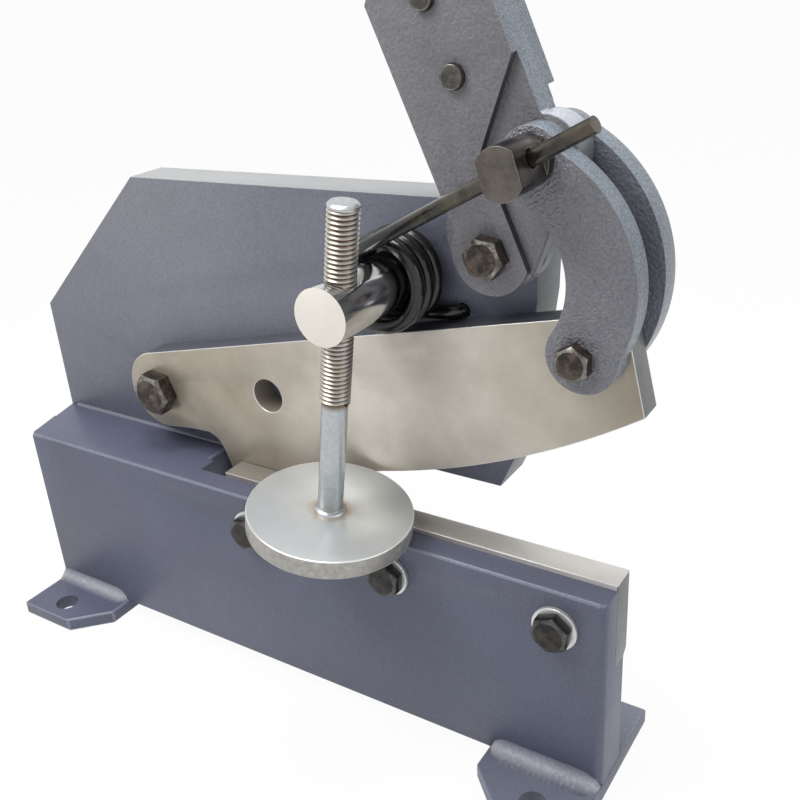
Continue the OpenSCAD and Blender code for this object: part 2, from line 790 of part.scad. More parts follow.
function unit(v) = v / norm(v);
function heading(i) = unit(wire_path[min(i + 1, wire_n - 1)] - wire_path[max(i - 1, 0)]);
function carry_all(i, last) = i >= wire_n ? [] : let (h = heading(i),
    q = i == 0 ? unit(cross(h, [0, 0, 1])) : unit(last - h * (last * h)))
    concat([q], carry_all(i + 1, q));
wire_up = carry_all(0, [1, 0, 0]);
wire_points = [for (i = [0:wire_n - 1]) let (h = heading(i), a = wire_up[i], b = cross(h, a))
    for (k = [0:wire_sides - 1]) wire_path[i] + wire_d / 2 * (a * cos(360 * k / wire_sides)
    + b * sin(360 * k / wire_sides))];
wire_faces = concat(
    [for (k = [1:wire_sides - 2]) [0, k, k + 1]],
    [for (k = [1:wire_sides - 2]) [(wire_n - 1) * wire_sides, (wire_n - 1) * wire_sides + k + 1,
        (wire_n - 1) * wire_sides + k]],
    [for (i = [0:wire_n - 2]) for (k = [0:wire_sides - 1]) let (a = i * wire_sides + k,
        b = i * wire_sides + (k + 1) % wire_sides) each [[a, a + wire_sides, b],
        [b, a + wire_sides, b + wire_sides]]]);
wire_gaps = [for (i = [0:wire_n - 1]) for (j = [i + rings_per_turn / 2:1:wire_n - 1])
    norm(wire_path[i] - wire_path[j]) - wire_d];
echo(spring_least_gap_mm = min(wire_gaps));

module torsion_spring() {
    color([0.20, 0.18, 0.14]) place() polyhedron(points = wire_points, faces = wire_faces,
        convexity = 8);
}

// Hold-down post with its cross hole; its spigot passes the frame plate to a nut
spigot_end = 2;
post_nut_t = 12;
post_nut_af = 24;
post_washer_t = 3;
post_washer_r = 15;
rod_y = -rod_front;

module rod_axis() {
    translate([post_x, rod_y, post_z]) rotate([0, rod_lean, 0]) children();
}

module hold_down_post() {
    color([0.80, 0.80, 0.82]) place() difference() {
        union() {
            bar_y(post_x, post_z, post_r, -post_face, frame_y - face_gap);
            bar_y(post_x, post_z, post_hole_r, frame_y - face_gap - over,
                rear_y + post_washer_t + post_nut_t + spigot_end);
        }
        rod_axis() cylinder(r = rod_r + fit_gap, h = 4 * post_r, center = true);
    }
}

module post_nut() {
    color([0.60, 0.60, 0.60]) place() difference() {
        hex_y(post_x, post_z, post_nut_af, rear_y + post_washer_t + face_gap,
            rear_y + post_washer_t + face_gap + post_nut_t, 0);
        bar_y(post_x, post_z, post_hole_r, rear_y, rear_y + post_washer_t + post_nut_t + over);
    }
}

module post_washer() {
    color([0.60, 0.60, 0.58]) place() difference() {
        bar_y(post_x, post_z, post_washer_r, rear_y, rear_y + post_washer_t);
        bar_y(post_x, post_z, post_hole_r + bolt_gap, rear_y - over,
            rear_y + post_washer_t + over);
    }
}

// Hold-down rod, threaded above and plain below, with a foot ring on the disc
ring_r = 6.6;
ring_t = 1.4;
rod_root = 4;

module hold_down_rod() {
    color([0.66, 0.66, 0.63]) place() rod_axis() {
        translate([0, 0, -thread_below]) cylinder(r = rod_r, h = rod_above + thread_below);
        translate([0, 0, -disc_drop - rod_root])
            cylinder(r = shank_r, h = disc_drop + rod_root - thread_below);
        translate([0, 0, -disc_drop]) cylinder(r = ring_r, h = ring_t);
    }
}

module hold_down_disc() {
    color([0.68, 0.69, 0.68]) place() rod_axis() translate([0, 0, -disc_drop - disc_t])
        difference() {
            cylinder(r = disc_r, h = disc_t, $fn = 120);
            translate([0, 0, disc_t - rod_root]) cylinder(r = shank_r, h = rod_root + over);
        }
}

base_beam();
spacer_block();
frame_plate();
left_foot();
right_foot();
lower_blade();
lower_blade_bolts();
lower_blade_washers();
upper_blade();
blade_pivot_bolt();
blade_pivot_nut();
lever_front_plate();
lever_ear_plate();
lever_back_plate();
handle_strap();
handle_tube();
handle_grip();
strap_bolts();
lever_pivot_bolt();
lever_pivot_nut();
pivot_washers();
front_link();
rear_link();
link_bolt();
link_nut();
swivel_pin();
pin_clip();
torsion_spring();
hold_down_post();
post_nut();
post_washer();
hold_down_rod();
hold_down_disc();
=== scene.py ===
"""Looks of a bench shear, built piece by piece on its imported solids. Lengths are in metres."""

import json
import math

import bmesh
import bpy
from mathutils import Matrix, Vector


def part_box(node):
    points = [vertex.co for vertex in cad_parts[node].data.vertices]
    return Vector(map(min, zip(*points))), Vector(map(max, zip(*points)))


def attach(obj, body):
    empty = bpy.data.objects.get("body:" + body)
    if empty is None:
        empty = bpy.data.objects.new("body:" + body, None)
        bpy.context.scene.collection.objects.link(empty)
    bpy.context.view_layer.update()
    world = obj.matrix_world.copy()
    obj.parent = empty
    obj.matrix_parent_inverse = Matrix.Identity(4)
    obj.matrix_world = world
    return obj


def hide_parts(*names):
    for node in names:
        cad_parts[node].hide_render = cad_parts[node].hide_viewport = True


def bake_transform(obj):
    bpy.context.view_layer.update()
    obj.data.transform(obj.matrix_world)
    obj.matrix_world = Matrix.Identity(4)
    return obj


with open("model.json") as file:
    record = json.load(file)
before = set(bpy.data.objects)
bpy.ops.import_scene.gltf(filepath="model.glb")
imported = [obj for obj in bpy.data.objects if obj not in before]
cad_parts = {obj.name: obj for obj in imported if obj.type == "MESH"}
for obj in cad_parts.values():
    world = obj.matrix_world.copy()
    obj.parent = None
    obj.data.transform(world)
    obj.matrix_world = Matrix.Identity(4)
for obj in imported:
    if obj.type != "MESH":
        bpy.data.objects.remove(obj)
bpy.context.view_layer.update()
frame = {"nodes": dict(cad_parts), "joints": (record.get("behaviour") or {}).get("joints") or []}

scene = bpy.context.scene
mm = 0.001
pivot = {joint["name"]: Vector(joint["pos_m"]) for joint in frame["joints"] if "pos_m" in joint}
bpy.ops.object.select_all(action="DESELECT")

# Base beam: a 90 x 20 mm flat bar on edge, milled out behind for the lower blade. Thick
# blue-grey paint rounds its edges and levels into a faint orange peel.


def feed(tree, value, socket):
    """Sets an input to a value, or links it where the value is another node's output."""
    if isinstance(value, bpy.types.NodeSocket):
        tree.links.new(value, socket)
    else:
        socket.default_value = value


def node(tree, kind, place, **values):
    made = tree.nodes.new(kind)
    made.location = place
    for name, value in values.items():
        feed(tree, value, made.inputs[name.replace("_", " ")])
    return made


def maths(tree, place, operation, *terms, kind="ShaderNodeMath", output=0):
    made = node(tree, kind, place)
    made.operation = operation
    for term, socket in zip(terms, made.inputs):
        feed(tree, term, socket)
    return made.outputs[output]


def ranged(tree, place, value, low, high, to_low=0, to_high=1):
    """Maps the range from low to high onto another, and holds it at both ends."""
    return node(tree, "ShaderNodeMapRange", place, Value=value, From_Min=low, From_Max=high,
                To_Min=to_low, To_Max=to_high).outputs["Result"]


def ramp(tree, place, value, *stops):
    made = node(tree, "ShaderNodeValToRGB", place, Fac=value)
    points = made.color_ramp.elements
    while len(points) < len(stops):
        points.new(0.5)
    for point, (position, colour) in zip(points, stops):
        point.position = position
        point.color = (*colour, 1)
    return made.outputs["Color"]


def noise(tree, where, place, scale, detail=2.0, rough=0.5):
    return node(tree, "ShaderNodeTexNoise", place, Vector=where, Scale=scale, Detail=detail,
                Roughness=rough).outputs["Fac"]


def dent(tree, surface, height, depth_mm, strength=1):
    """Small dents in the surface, too fine to be modelled."""
    bump = node(tree, "ShaderNodeBump", (-300, -300), Strength=strength, Distance=depth_mm * mm,
                Height=height)
    feed(tree, bump.outputs["Normal"], surface.inputs["Normal"])


def new_finish(name):
    finish = bpy.data.materials.new(name)
    finish.use_nodes = True
    tree = finish.node_tree
    place = node(tree, "ShaderNodeTexCoord", (-1200, 0))
    return finish, tree, tree.nodes["Principled BSDF"], place.outputs["Object"]


def hammered_paint(name, dark, light, grain_mm, depth_mm, gloss):
    """Blue-grey machine enamel: patchy colour, fine pits in the gloss, orange peel of one grain."""
    finish, tree, surface, where = new_finish(name)
    patches = noise(tree, where, (-900, 300), 14, 4, 0.6)
    peel = noise(tree, where, (-900, -300), 1 / (grain_mm * mm), 1.5, 0.45)
    pitted = maths(tree, (-750, 200), "MULTIPLY_ADD", peel, 1.1, patches)
    shade = ranged(tree, (-680, 400), pitted, 0.76, 1.34)
    feed(tree, ramp(tree, (-500, 300), shade, (0, dark), (1, light)), surface.inputs["Base Color"])
    sheen = noise(tree, where, (-900, 0), 60, 3)
    spread = ranged(tree, (-600, 0), sheen, 0, 1, gloss - 0.06, gloss + 0.08)
    feed(tree, spread, surface.inputs["Roughness"])
    swell = noise(tree, where, (-900, -500), 0.22 / (grain_mm * mm), 2)
    dent(tree, surface, maths(tree, (-600, -400), "ADD", peel, swell), depth_mm)
    return finish


def wear(piece, *finishes):
    piece.data.materials.clear()
    for finish in finishes:
        piece.data.materials.append(finish)


def recoat(piece, finish, wanted):
    """Gives the faces that wanted(face) picks another finish."""
    piece.data.materials.append(finish)
    for face in piece.data.polygons:
        if wanted(face):
            face.material_index = len(piece.data.materials) - 1


def pick(piece, wanted, kind="edges"):
    """Selects only the wanted edges or faces, in edit mode."""
    bpy.ops.mesh.select_mode(type="EDGE" if kind == "edges" else "FACE")
    bpy.ops.mesh.select_all(action="DESELECT")
    mesh = bmesh.from_edit_mesh(piece.data)
    for part in getattr(mesh, kind):
        if wanted(part):
            part.select_set(True)
    bmesh.update_edit_mesh(piece.data)


def middle(edge):
    return (edge.verts[0].co + edge.verts[1].co) / 2


def corner(edge):
    return len(edge.link_faces) == 2 and edge.calc_face_angle() > 0.6


def choose(piece):
    bpy.ops.object.select_all(action="DESELECT")
    piece.select_set(True)
    bpy.context.view_layer.objects.active = piece


def start_edit(piece):
    choose(piece)
    bpy.ops.object.mode_set(mode="EDIT")
    bpy.ops.mesh.select_all(action="SELECT")


def settle(piece, body, finish, smooth_deg=32):
    """Ends edit mode, puts the piece's place into its mesh, shades it and fixes it to its body."""
    if bpy.context.mode != "OBJECT":
        bpy.ops.object.mode_set(mode="OBJECT")
    choose(piece)
    bpy.ops.object.transform_apply(location=True, rotation=True, scale=True)
    bpy.ops.object.shade_smooth_by_angle(angle=math.radians(smooth_deg))
    if finish:
        wear(piece, finish)
    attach(piece, body)
    bpy.ops.object.select_all(action="DESELECT")


def eased(name, body, finish, width_mm, eases=corner, rim=None, broad=()):
    """The real edge of a CAD node: a merged copy of its mesh with its corners rolled over, in
    the finish rim where they have one of their own. Broad pairs a choice of edges with the
    width, in millimetres, by which those are rolled more."""
    piece = frame["nodes"][name].copy()
    piece.data = piece.data.copy()
    piece.name = name + "_eased"
    for key in list(piece.keys()):
        del piece[key]
    scene.collection.objects.link(piece)
    wear(piece, finish, rim or finish)
    start_edit(piece)
    bpy.ops.mesh.remove_doubles(threshold=0.002 * mm)
    bpy.ops.mesh.dissolve_limited(angle_limit=math.radians(0.4))
    for chosen, broad_mm in broad:
        pick(piece, chosen)
        bpy.ops.mesh.bevel(offset=broad_mm * mm, segments=5, affect="EDGES", clamp_overlap=True)
    pick(piece, eases)
    bpy.ops.mesh.bevel(offset=width_mm * mm, segments=3, affect="EDGES", clamp_overlap=True,
                       material=1)
    settle(piece, body, None)
    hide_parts(name)
    return piece


beam_low, beam_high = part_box("base_beam")
beam_paint = hammered_paint("beam_paint", (0.080, 0.088, 0.134), (0.108, 0.118, 0.176), 1.0, 0.14, 0.42)
same_plane = 0.05 * mm
flush_end = 0.086


def clear_of_block(edge):
    """The joint with the block is welded, ground flush and painted over, so it stays sharp."""
    at = middle(edge)
    return corner(edge) and not (abs(at.y - beam_high.y) < same_plane and at.x < flush_end)


def beam_front(edge):
    """The long edges of the beam's front face, all but the lowest."""
    at = middle(edge)
    in_front = abs(at.y - beam_low.y) < same_plane and at.z > beam_low.z + 1 * mm
    return corner(edge) and in_front and edge.calc_length() > 50 * mm


def beam_top(edge):
    return beam_front(edge) and abs(edge.verts[0].co.z - edge.verts[1].co.z) < 1 * mm


def beam_upright(edge):
    """The paint lies thickest round the right end's front edge."""
    return beam_front(edge) and not beam_top(edge) and middle(edge).x > beam_high.x - 5 * mm


# Painted highlight: the beam's rolled edges, most of all those facing up and forward, are painted a
# lighter blue, partly as paint worn thin over the edges.
beam_rim = hammered_paint("beam_rim", (0.150, 0.162, 0.215), (0.205, 0.220, 0.285), 1.0, 0.05, 0.30)
made = eased("base_beam", "frame", beam_paint, 0.6, clear_of_block,
             broad=((beam_upright, 3.6), (beam_top, 1.6)))
recoat(made, beam_rim, lambda face: 0.3 < face.normal.z < 0.93 and face.normal.y < -0.3)

# Spacer block: welded behind the beam's left half to hold the frame plate off it. Its top is
# ground flush with the beam's, so only its outer corners are rounded by the paint.
frame_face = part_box("frame_plate")[0].y


def clear_of_plates(edge):
    at = middle(edge)
    return corner(edge) and min(abs(at.y - beam_high.y), abs(at.y - frame_face)) > same_plane


# The block's rolled corners take the same painted edge highlight.
eased("spacer_block", "frame", beam_paint, 1.1, clear_of_plates, rim=beam_rim)

# Feet: two 7 mm plates, sheared to shape with one corner off and drilled for bench bolts.
# The right one's top is painted a paler blue, a painted reflection that is brightest at its back right
# corner.


def long_corner(edge):
    """The drilled holes keep their sharp edges, which are made of short steps."""
    return corner(edge) and edge.calc_length() > 3 * mm


def length(tree, place, operation, *terms):
    """The number that comes of vectors: a length, a distance or a dot product."""
    return maths(tree, place, operation, *terms, kind="ShaderNodeVectorMath", output=1)


def mixed(tree, place, share, one, other, blend="MIX"):
    made = node(tree, "ShaderNodeMix", place)
    made.data_type = "RGBA"
    made.blend_type = blend
    for name, value in (("Factor", share), ("A", one), ("B", other)):
        feed(tree, value, made.inputs[name])
    return made.outputs["Result"]


def where_on(finish):
    return finish.node_tree.nodes["Texture Coordinate"].outputs["Object"]


def recolour(finish, share, tint, blend="MIX"):
    """Lays a tint over a finish's own colour, by a share from 0 to 1."""
    tree = finish.node_tree
    colour = tree.nodes["Principled BSDF"].inputs["Base Color"]
    under = colour.links[0].from_socket
    feed(tree, mixed(tree, (-250, 600), share, under, tint, blend), colour)


def painted_falloff(finish, at, near_mm, far_mm, tint):
    """Painted light: darkens a finish by a tint the further it lies from a spot, where it is painted
    brightest.
    """
    tree = finish.node_tree
    away = length(tree, (-900, 700), "DISTANCE", where_on(finish), at)
    falloff_shade = ranged(tree, (-700, 700), away, near_mm * mm, far_mm * mm)
    recolour(finish, falloff_shade, (*tint, 1), "MULTIPLY")


# The feet's rolled edges take the beam's painted edge highlight.
for foot in ("left_foot", "right_foot"):
    made = eased(foot, "frame", beam_paint, 0.9, long_corner, rim=beam_rim)
    if foot == "right_foot":
        # Painted reflection: the right foot's top faces are painted pale, and darken away from its back
        # right corner.
        foot_paint = hammered_paint("foot_paint", (0.250, 0.272, 0.340), (0.350, 0.375, 0.455), 1.0,
                                    0.14, 0.34)
        painted_falloff(foot_paint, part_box(foot)[1], 14, 62, (0.46, 0.46, 0.49))
        recoat(made, foot_paint, lambda face: face.normal.z > 0.9)

# Foot welds: fillets laid by hand along the beam's foot, painted over. The bead stands proud
# in small overlapping waves.


def weld(name, start, end, leg_mm, wave_mm, proud_mm, finish, hollow=0.0):
    """A bead from start to end: a rod of weld metal, waved along its length. Where it is
    hollow it lies as a fillet in the corner between what stands behind and what lies below,
    and its hidden side is cut flat, so that it stays within the foot."""
    run = end - start
    flat_side = 5 * mm
    bpy.ops.object.select_all(action="DESELECT")
    bpy.ops.mesh.primitive_cylinder_add(vertices=48, radius=leg_mm * mm, depth=run.length)
    bead = bpy.context.object
    bead.name = name
    start_edit(bead)
    pick(bead, lambda edge: abs(edge.verts[0].co.z - edge.verts[1].co.z) > 0.5 * run.length)
    bpy.ops.mesh.subdivide(number_cuts=int(run.length / (0.16 * wave_mm * mm)))
    bpy.ops.object.mode_set(mode="OBJECT")
    for vert in bead.data.vertices:
        along = vert.co.z / (wave_mm * mm)
        wander = 0.5 * math.sin(0.37 * along + 1) + 0.3 * math.sin(0.83 * along)
        crest = abs(math.sin(math.pi * (along + 0.12 * wander)))
        end_gap = (0.5 * run.length - abs(vert.co.z)) / (leg_mm * mm)
        swell = 1 + (proud_mm * (crest + 0.5 * wander)) / leg_mm
        closed = math.sqrt(max(0.05, 1 - (1 - min(1, end_gap)) ** 2))
        slope = (abs(vert.co.x) + abs(vert.co.y)) / max(1e-9, math.hypot(vert.co.x, vert.co.y))
        dished = slope ** -hollow
        vert.co.x = min(vert.co.x * swell * closed * dished, flat_side)
        vert.co.y *= swell * closed * dished
    bead.rotation_mode = "QUATERNION"
    bead.rotation_quaternion = Vector((0, 0, 1)).rotation_difference(run.normalized())
    bead.location = (start + end) / 2
    settle(bead, "frame", finish, 60)


left_low, left_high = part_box("left_foot")
right_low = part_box("right_foot")[0]
foot_top = left_high.z
front = beam_low.y
weld_paint = hammered_paint("weld_paint", (0.155, 0.163, 0.205), (0.205, 0.214, 0.262), 1.4, 0.06, 0.38)
# Painted highlight: the front welds are painted pale along their crest and darkened towards their edges,
# as the crest catches the light.
crest_highlight = hammered_paint("weld_crest_paint", (0.27, 0.28, 0.325), (0.42, 0.43, 0.475), 1.4, 0.10,
                             0.26)
tree = crest_highlight.node_tree
highlight_line = front + foot_top + 0.8 * mm
askew = length(tree, (-900, 700), "DOT_PRODUCT", where_on(crest_highlight), (0, 1, 1))
off_highlight = maths(tree, (-550, 700), "ABSOLUTE", maths(tree, (-700, 700), "SUBTRACT", askew, highlight_line))
recolour(crest_highlight, ranged(tree, (-400, 700), off_highlight, 0.5 * mm, 6 * mm), (0.094, 0.103, 0.155, 1))
frame_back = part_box("frame_plate")[1].y
for name, start_x, end_x, at_y, sunk_mm, leg_mm, wave_mm, proud_mm, finish, hollow in (
        ("left_foot_weld", beam_low.x + 3 * mm, left_high.x - 1 * mm, front + 0.6 * mm, 0.4,
         7.0, 5, 0.06, crest_highlight, 1.15),
        ("right_foot_weld", right_low.x + 1 * mm, beam_high.x - 0.5 * mm, front + 0.6 * mm, 0.4,
         8.0, 2.4, 0.13, crest_highlight, 1.15),
        ("right_foot_back_weld", right_low.x + 3 * mm, beam_high.x - 2 * mm, beam_high.y - 1 * mm, 0.6,
         4.2, 3.4, 0.4, weld_paint, 0.0),
        ("left_foot_back_weld", left_low.x + 1 * mm, left_high.x - 3 * mm, frame_back - 1 * mm, 0.6,
         4.2, 3.4, 0.4, weld_paint, 0.0)):
    at_z = foot_top - sunk_mm * mm
    weld(name, Vector((start_x, at_y, at_z)), Vector((end_x, at_y, at_z)), leg_mm, wave_mm, proud_mm,
         finish, hollow)

# Frame plate: 20 mm plate, flame cut, ground at the edges, drilled for both pivots and the
# post, and welded to the block. A thin fillet of weld and paint runs along the block's top.
frame_paint = hammered_paint("frame_paint", (0.156, 0.159, 0.186), (0.207, 0.211, 0.243), 1.0, 0.13, 0.40)
# Painted shade: the plate is darkened and blued away from a spot on its top, as if lit most from above.
painted_falloff(frame_paint, (0.05, frame_face, 0.262), 20, 190, (0.64, 0.67, 0.80))
# Painted highlight: lighter paint on the plate's rolled edges, partly paint worn thin over them.
frame_rim = hammered_paint("frame_rim", (0.30, 0.31, 0.335), (0.40, 0.41, 0.44), 1.0, 0.05, 0.30)
made = eased("frame_plate", "frame", frame_paint, 1.0, rim=frame_rim)
# Painted shade: the plate's right-facing walls are painted darker, as they face away from the lamps.
frame_wall_shade = hammered_paint("frame_wall_paint", (0.098, 0.110, 0.118), (0.140, 0.154, 0.162), 1.0, 0.08,
                            0.42)
recoat(made, frame_wall_shade, lambda face: face.normal.x > 0.5 and abs(face.normal.y) < 0.3)
# Painted light: the plate's upward faces are painted paler, as if lit from above.
frame_top_light = hammered_paint("frame_top_paint", (0.275, 0.285, 0.295), (0.345, 0.355, 0.365), 1.0, 0.06,
                           0.34)
recoat(made, frame_top_light, lambda face: face.normal.z > 0.9)
block_low, block_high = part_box("spacer_block")
bead_y = frame_face + 0.4 * mm
bead_z = block_high.z - 0.5 * mm
bead_x = block_high.x - 0.5 * mm
weld("block_weld", Vector((block_low.x + 4 * mm, bead_y, bead_z)),
     Vector((block_high.x - 2 * mm, bead_y, bead_z)), 1.7, 6, 0.05, weld_paint)
weld("block_end_weld", Vector((bead_x, bead_y, foot_top + 3 * mm)),
     Vector((bead_x, bead_y, foot_top + 34 * mm)), 2.6, 3.6, 0.25, weld_paint)

# Lower blade: a bar of hardened tool steel, ground all over, bedded in the beam's seat. Its
# top keeps a fine grinding grain, and the steel has yellowed a little under its oil.


def ground_steel(name, dark, light, grain, rough, stain, metallic=0.85, cloud_scale=26, cut=0.5):
    """Bare steel or zinc: clouded and stained, with a grain by its scale along each axis."""
    finish, tree, surface, where = new_finish(name)
    cloud = noise(tree, where, (-900, 300), cloud_scale, 5, 0.62)
    colour = ramp(tree, (-600, 300), cloud, (0.30, dark), (0.62, light), (0.80, stain))
    feed(tree, colour, surface.inputs["Base Color"])
    lay = node(tree, "ShaderNodeMapping", (-1000, -100), Vector=where, Scale=grain)
    lines = noise(tree, lay.outputs["Vector"], (-800, -100), 1, 4, 0.6)
    spread = ranged(tree, (-600, -100), lines, 0, 1, rough - 0.08, rough + 0.08)
    feed(tree, spread, surface.inputs["Roughness"])
    dent(tree, surface, lines, 0.012, cut)
    surface.inputs["Metallic"].default_value = metallic
    return finish


blade_steel = ground_steel("blade_steel", (0.70, 0.67, 0.64), (0.80, 0.775, 0.745), (60, 900, 3200), 0.36,
                           (0.74, 0.70, 0.65), 0.45)
blade_low, blade_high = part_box("lower_blade")
# Painted reflection: the blade is darkened away from its top front right corner, where it is painted
# brightest.
painted_falloff(blade_steel, (blade_high.x, blade_low.y, blade_high.z), 14, 100, (0.40, 0.38, 0.355))
# Painted highlight: a light, glossy finish on the rolled edges of the blades and the disc, partly steel
# worn bright there.
ground_edge = ground_steel("ground_edge", (0.60, 0.60, 0.59), (0.74, 0.74, 0.73), (200, 200, 200), 0.30,
                           (0.66, 0.64, 0.60), 0.6)
# Painted shade: the blades' right-hand end faces are painted dark grey, as they face away from the lamps;
# they are also rougher than the ground faces.
sawn_end = ground_steel("sawn_end", (0.150, 0.154, 0.152), (0.215, 0.220, 0.216), (200, 200, 1400), 0.48,
                        (0.22, 0.215, 0.205), 0.3)
made = eased("lower_blade", "frame", blade_steel, 0.35, rim=ground_edge)
recoat(made, sawn_end, lambda face: face.normal.x > 0.9 and face.area > 20 * mm * mm)
# Painted shadow: the rolled edge where the blade's end meets the beam's seat is painted nearly black,
# standing for the shadow in the gap between them.
seat_gap = ground_steel("seat_gap", (0.030, 0.031, 0.036), (0.045, 0.046, 0.052), (200, 200, 200), 0.6,
                        (0.04, 0.04, 0.045), 0.1)
recoat(made, seat_gap, lambda face: 0.2 < face.normal.x < 0.95 and face.normal.y < -0.2
       and face.center.x > blade_high.x - 1 * mm)

# Lower blade bolts: three black hexagon bolts on plain zinc washers, from the front through
# the beam's web into the blade. Their heads are forged, with a turned crown.


def dark_steel(name, black, bare, gloss, wear_scale=160):
    """Black oxide that has rubbed brown and bare in places."""
    finish, tree, surface, where = new_finish(name)
    rub = noise(tree, where, (-900, 300), wear_scale, 6, 0.7)
    between = [0.5 * (one + other) for one, other in zip(black, bare)]
    colour = ramp(tree, (-600, 300), rub, (0.42, black), (0.56, between), (0.74, bare))
    feed(tree, colour, surface.inputs["Base Color"])
    shine = ranged(tree, (-600, 0), rub, 0, 1, gloss + 0.12, gloss - 0.08)
    feed(tree, shine, surface.inputs["Roughness"])
    dent(tree, surface, noise(tree, where, (-900, -300), 1400, 3), 0.03, 0.6)
    surface.inputs["Metallic"].default_value = 0.7
    return finish


def keep_common(piece, other, operation="INTERSECT"):
    """Cuts one shape with the other by a boolean, and throws the cutter away."""
    cut = piece.modifiers.new("cut", "BOOLEAN")
    cut.operation = operation
    cut.solver = "EXACT"
    cut.object = other
    choose(piece)
    bpy.ops.object.modifier_apply(modifier=cut.name)
    bpy.data.objects.remove(other)


def hexagon(across, height, turn_deg):
    bpy.ops.object.select_all(action="DESELECT")
    corner_r = across / 2 / math.cos(math.pi / 6)
    bpy.ops.mesh.primitive_cylinder_add(vertices=6, radius=corner_r, depth=height,
                                        location=(0, 0, height / 2),
                                        rotation=(0, 0, math.radians(-turn_deg - 30)))
    made = bpy.context.object
    bpy.ops.object.transform_apply(location=True, rotation=True, scale=True)
    return made


def crown(piece, across, low, high):
    """Turns the corners off a hexagon's end by a 30 degree cone."""
    top = 0.42 * across
    deep = high - low
    bpy.ops.mesh.primitive_cone_add(vertices=120, radius1=top + abs(deep) * math.sqrt(3), radius2=top,
                                    depth=abs(deep), location=(0, 0, low + deep / 2),
                                    rotation=(0 if deep > 0 else math.pi, 0, 0))
    keep_common(piece, bpy.context.object)


def roll_edges(piece, width_mm, least_deg=20, rings=2):
    roll = piece.modifiers.new("roll", "BEVEL")
    roll.width = width_mm * mm
    roll.segments = rings
    roll.limit_method = "ANGLE"
    roll.angle_limit = math.radians(least_deg)
    bpy.context.view_layer.objects.active = piece
    bpy.ops.object.modifier_apply(modifier=roll.name)


def round_bar(radius, low, high):
    bpy.ops.object.select_all(action="DESELECT")
    bpy.ops.mesh.primitive_cylinder_add(vertices=64, radius=radius, depth=high - low,
                                        location=(0, 0, (low + high) / 2))
    made = bpy.context.object
    bpy.ops.object.transform_apply(location=True, rotation=True, scale=True)
    return made


def join(first, *others):
    choose(first)
    for other in others:
        other.select_set(True)
    bpy.ops.object.join()


def on_chamfer(face):
    return 0.8 < abs(face.normal.y) < 0.95


def bolt(name, seat, across, height, shank_r, shank_long, turn_deg, body, finish):
    """A hexagon bolt put in from the front, whose head stands on seat."""
    head = hexagon(across, height, turn_deg)
    crown(head, across, 0, height)
    roll_edges(head, 0.22)
    stem = round_bar(shank_r, -shank_long, 0.4 * height)
    roll_edges(stem, 0.9, 60, 1)
    join(head, stem)
    head.name = name
    head.rotation_euler = (math.pi / 2, 0, 0)
    head.location = seat
    settle(head, body, finish)
    recoat(head, black_edge if finish == black_oxide else rubbed_edge, on_chamfer)
    return head


def centre(low, high):
    return (low + high) / 2


black_oxide = dark_steel("black_oxide", (0.018, 0.018, 0.018), (0.070, 0.062, 0.054), 0.34)
black_edge = dark_steel("black_edge", (0.035, 0.036, 0.036), (0.13, 0.13, 0.125), 0.26, 200)
rubbed_edge = dark_steel("rubbed_edge", (0.075, 0.070, 0.062), (0.40, 0.375, 0.34), 0.30, 260)
bolts_low, bolts_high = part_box("lower_blade_bolts")
washers_low, washers_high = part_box("lower_blade_washers")
washer_r = (washers_high.z - washers_low.z) / 2
first_x = washers_low.x + washer_r
last_x = washers_high.x - washer_r
for count, turn in enumerate((-13, -25, -21)):
    seat = Vector((first_x + (last_x - first_x) * count / 2, washers_low.y,
                   centre(washers_low, washers_high).z))
    screw = bolt("lower_blade_bolt_%d" % (count + 1), seat, 14 * mm, 5.2 * mm, 5 * mm,
                 bolts_high.y - washers_low.y, turn, "frame", black_oxide)
    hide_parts("lower_blade_bolts")

zinc = ground_steel("zinc_plate", (0.60, 0.61, 0.60), (0.72, 0.73, 0.71), (300, 300, 300), 0.36,
                    (0.66, 0.64, 0.58), 0.7)
eased("lower_blade_washers", "frame", zinc, 0.3)

# Upper blade: 12 mm tool steel, ground on both faces, with the curved cutting edge, the round
# end at its pivot and one spare hole. The faces carry long faint grinding marks.
upper_steel = ground_steel("upper_blade_steel", (0.48, 0.435, 0.375), (0.66, 0.62, 0.555),
                           (22, 900, 2600), 0.38, (0.55, 0.505, 0.435), 0.45)
# Painted reflection: the blade is darkened away from a spot on its front face, where it is painted
# brightest.
painted_falloff(upper_steel, (0.200, -2.9 * mm, 0.166), 34, 94, (0.62, 0.595, 0.545))
made = eased("upper_blade", "blade", upper_steel, 0.4, rim=ground_edge)
blade_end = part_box("upper_blade")[1].x
# The upper blade's right end takes the same painted shade.
recoat(made, sawn_end, lambda face: face.normal.x > 0.6 and face.center.x > blade_end - 15 * mm
       and abs(face.normal.y) < 0.3)
scaled_top = hammered_paint("blade_top_scale", (0.062, 0.066, 0.082), (0.095, 0.100, 0.122), 1.2, 0.05,
                            0.42)
recoat(made, scaled_top, lambda face: face.normal.z > 0.85 and face.area > 20 * mm * mm)

# Blade pivot: an M12 bolt with a rubbed, browned head, through blade and frame plate to a nut
# on a plain washer behind. The lever's pivot is an M10 bolt, set the same way.


def nut(name, seat, across, height, hole_r, turn_deg, body, finish):
    """A hexagon nut, crowned at both ends, on a seat that looks to the rear."""
    made = hexagon(across, height, turn_deg)
    crown(made, across, 0, height)
    crown(made, across, height, 0)
    keep_common(made, round_bar(hole_r, -height, 2 * height), "DIFFERENCE")
    roll_edges(made, 0.2)
    made.name = name
    made.rotation_euler = (-math.pi / 2, 0, 0)
    made.location = seat
    settle(made, body, finish)
    recoat(made, rubbed_edge, on_chamfer)
    return made


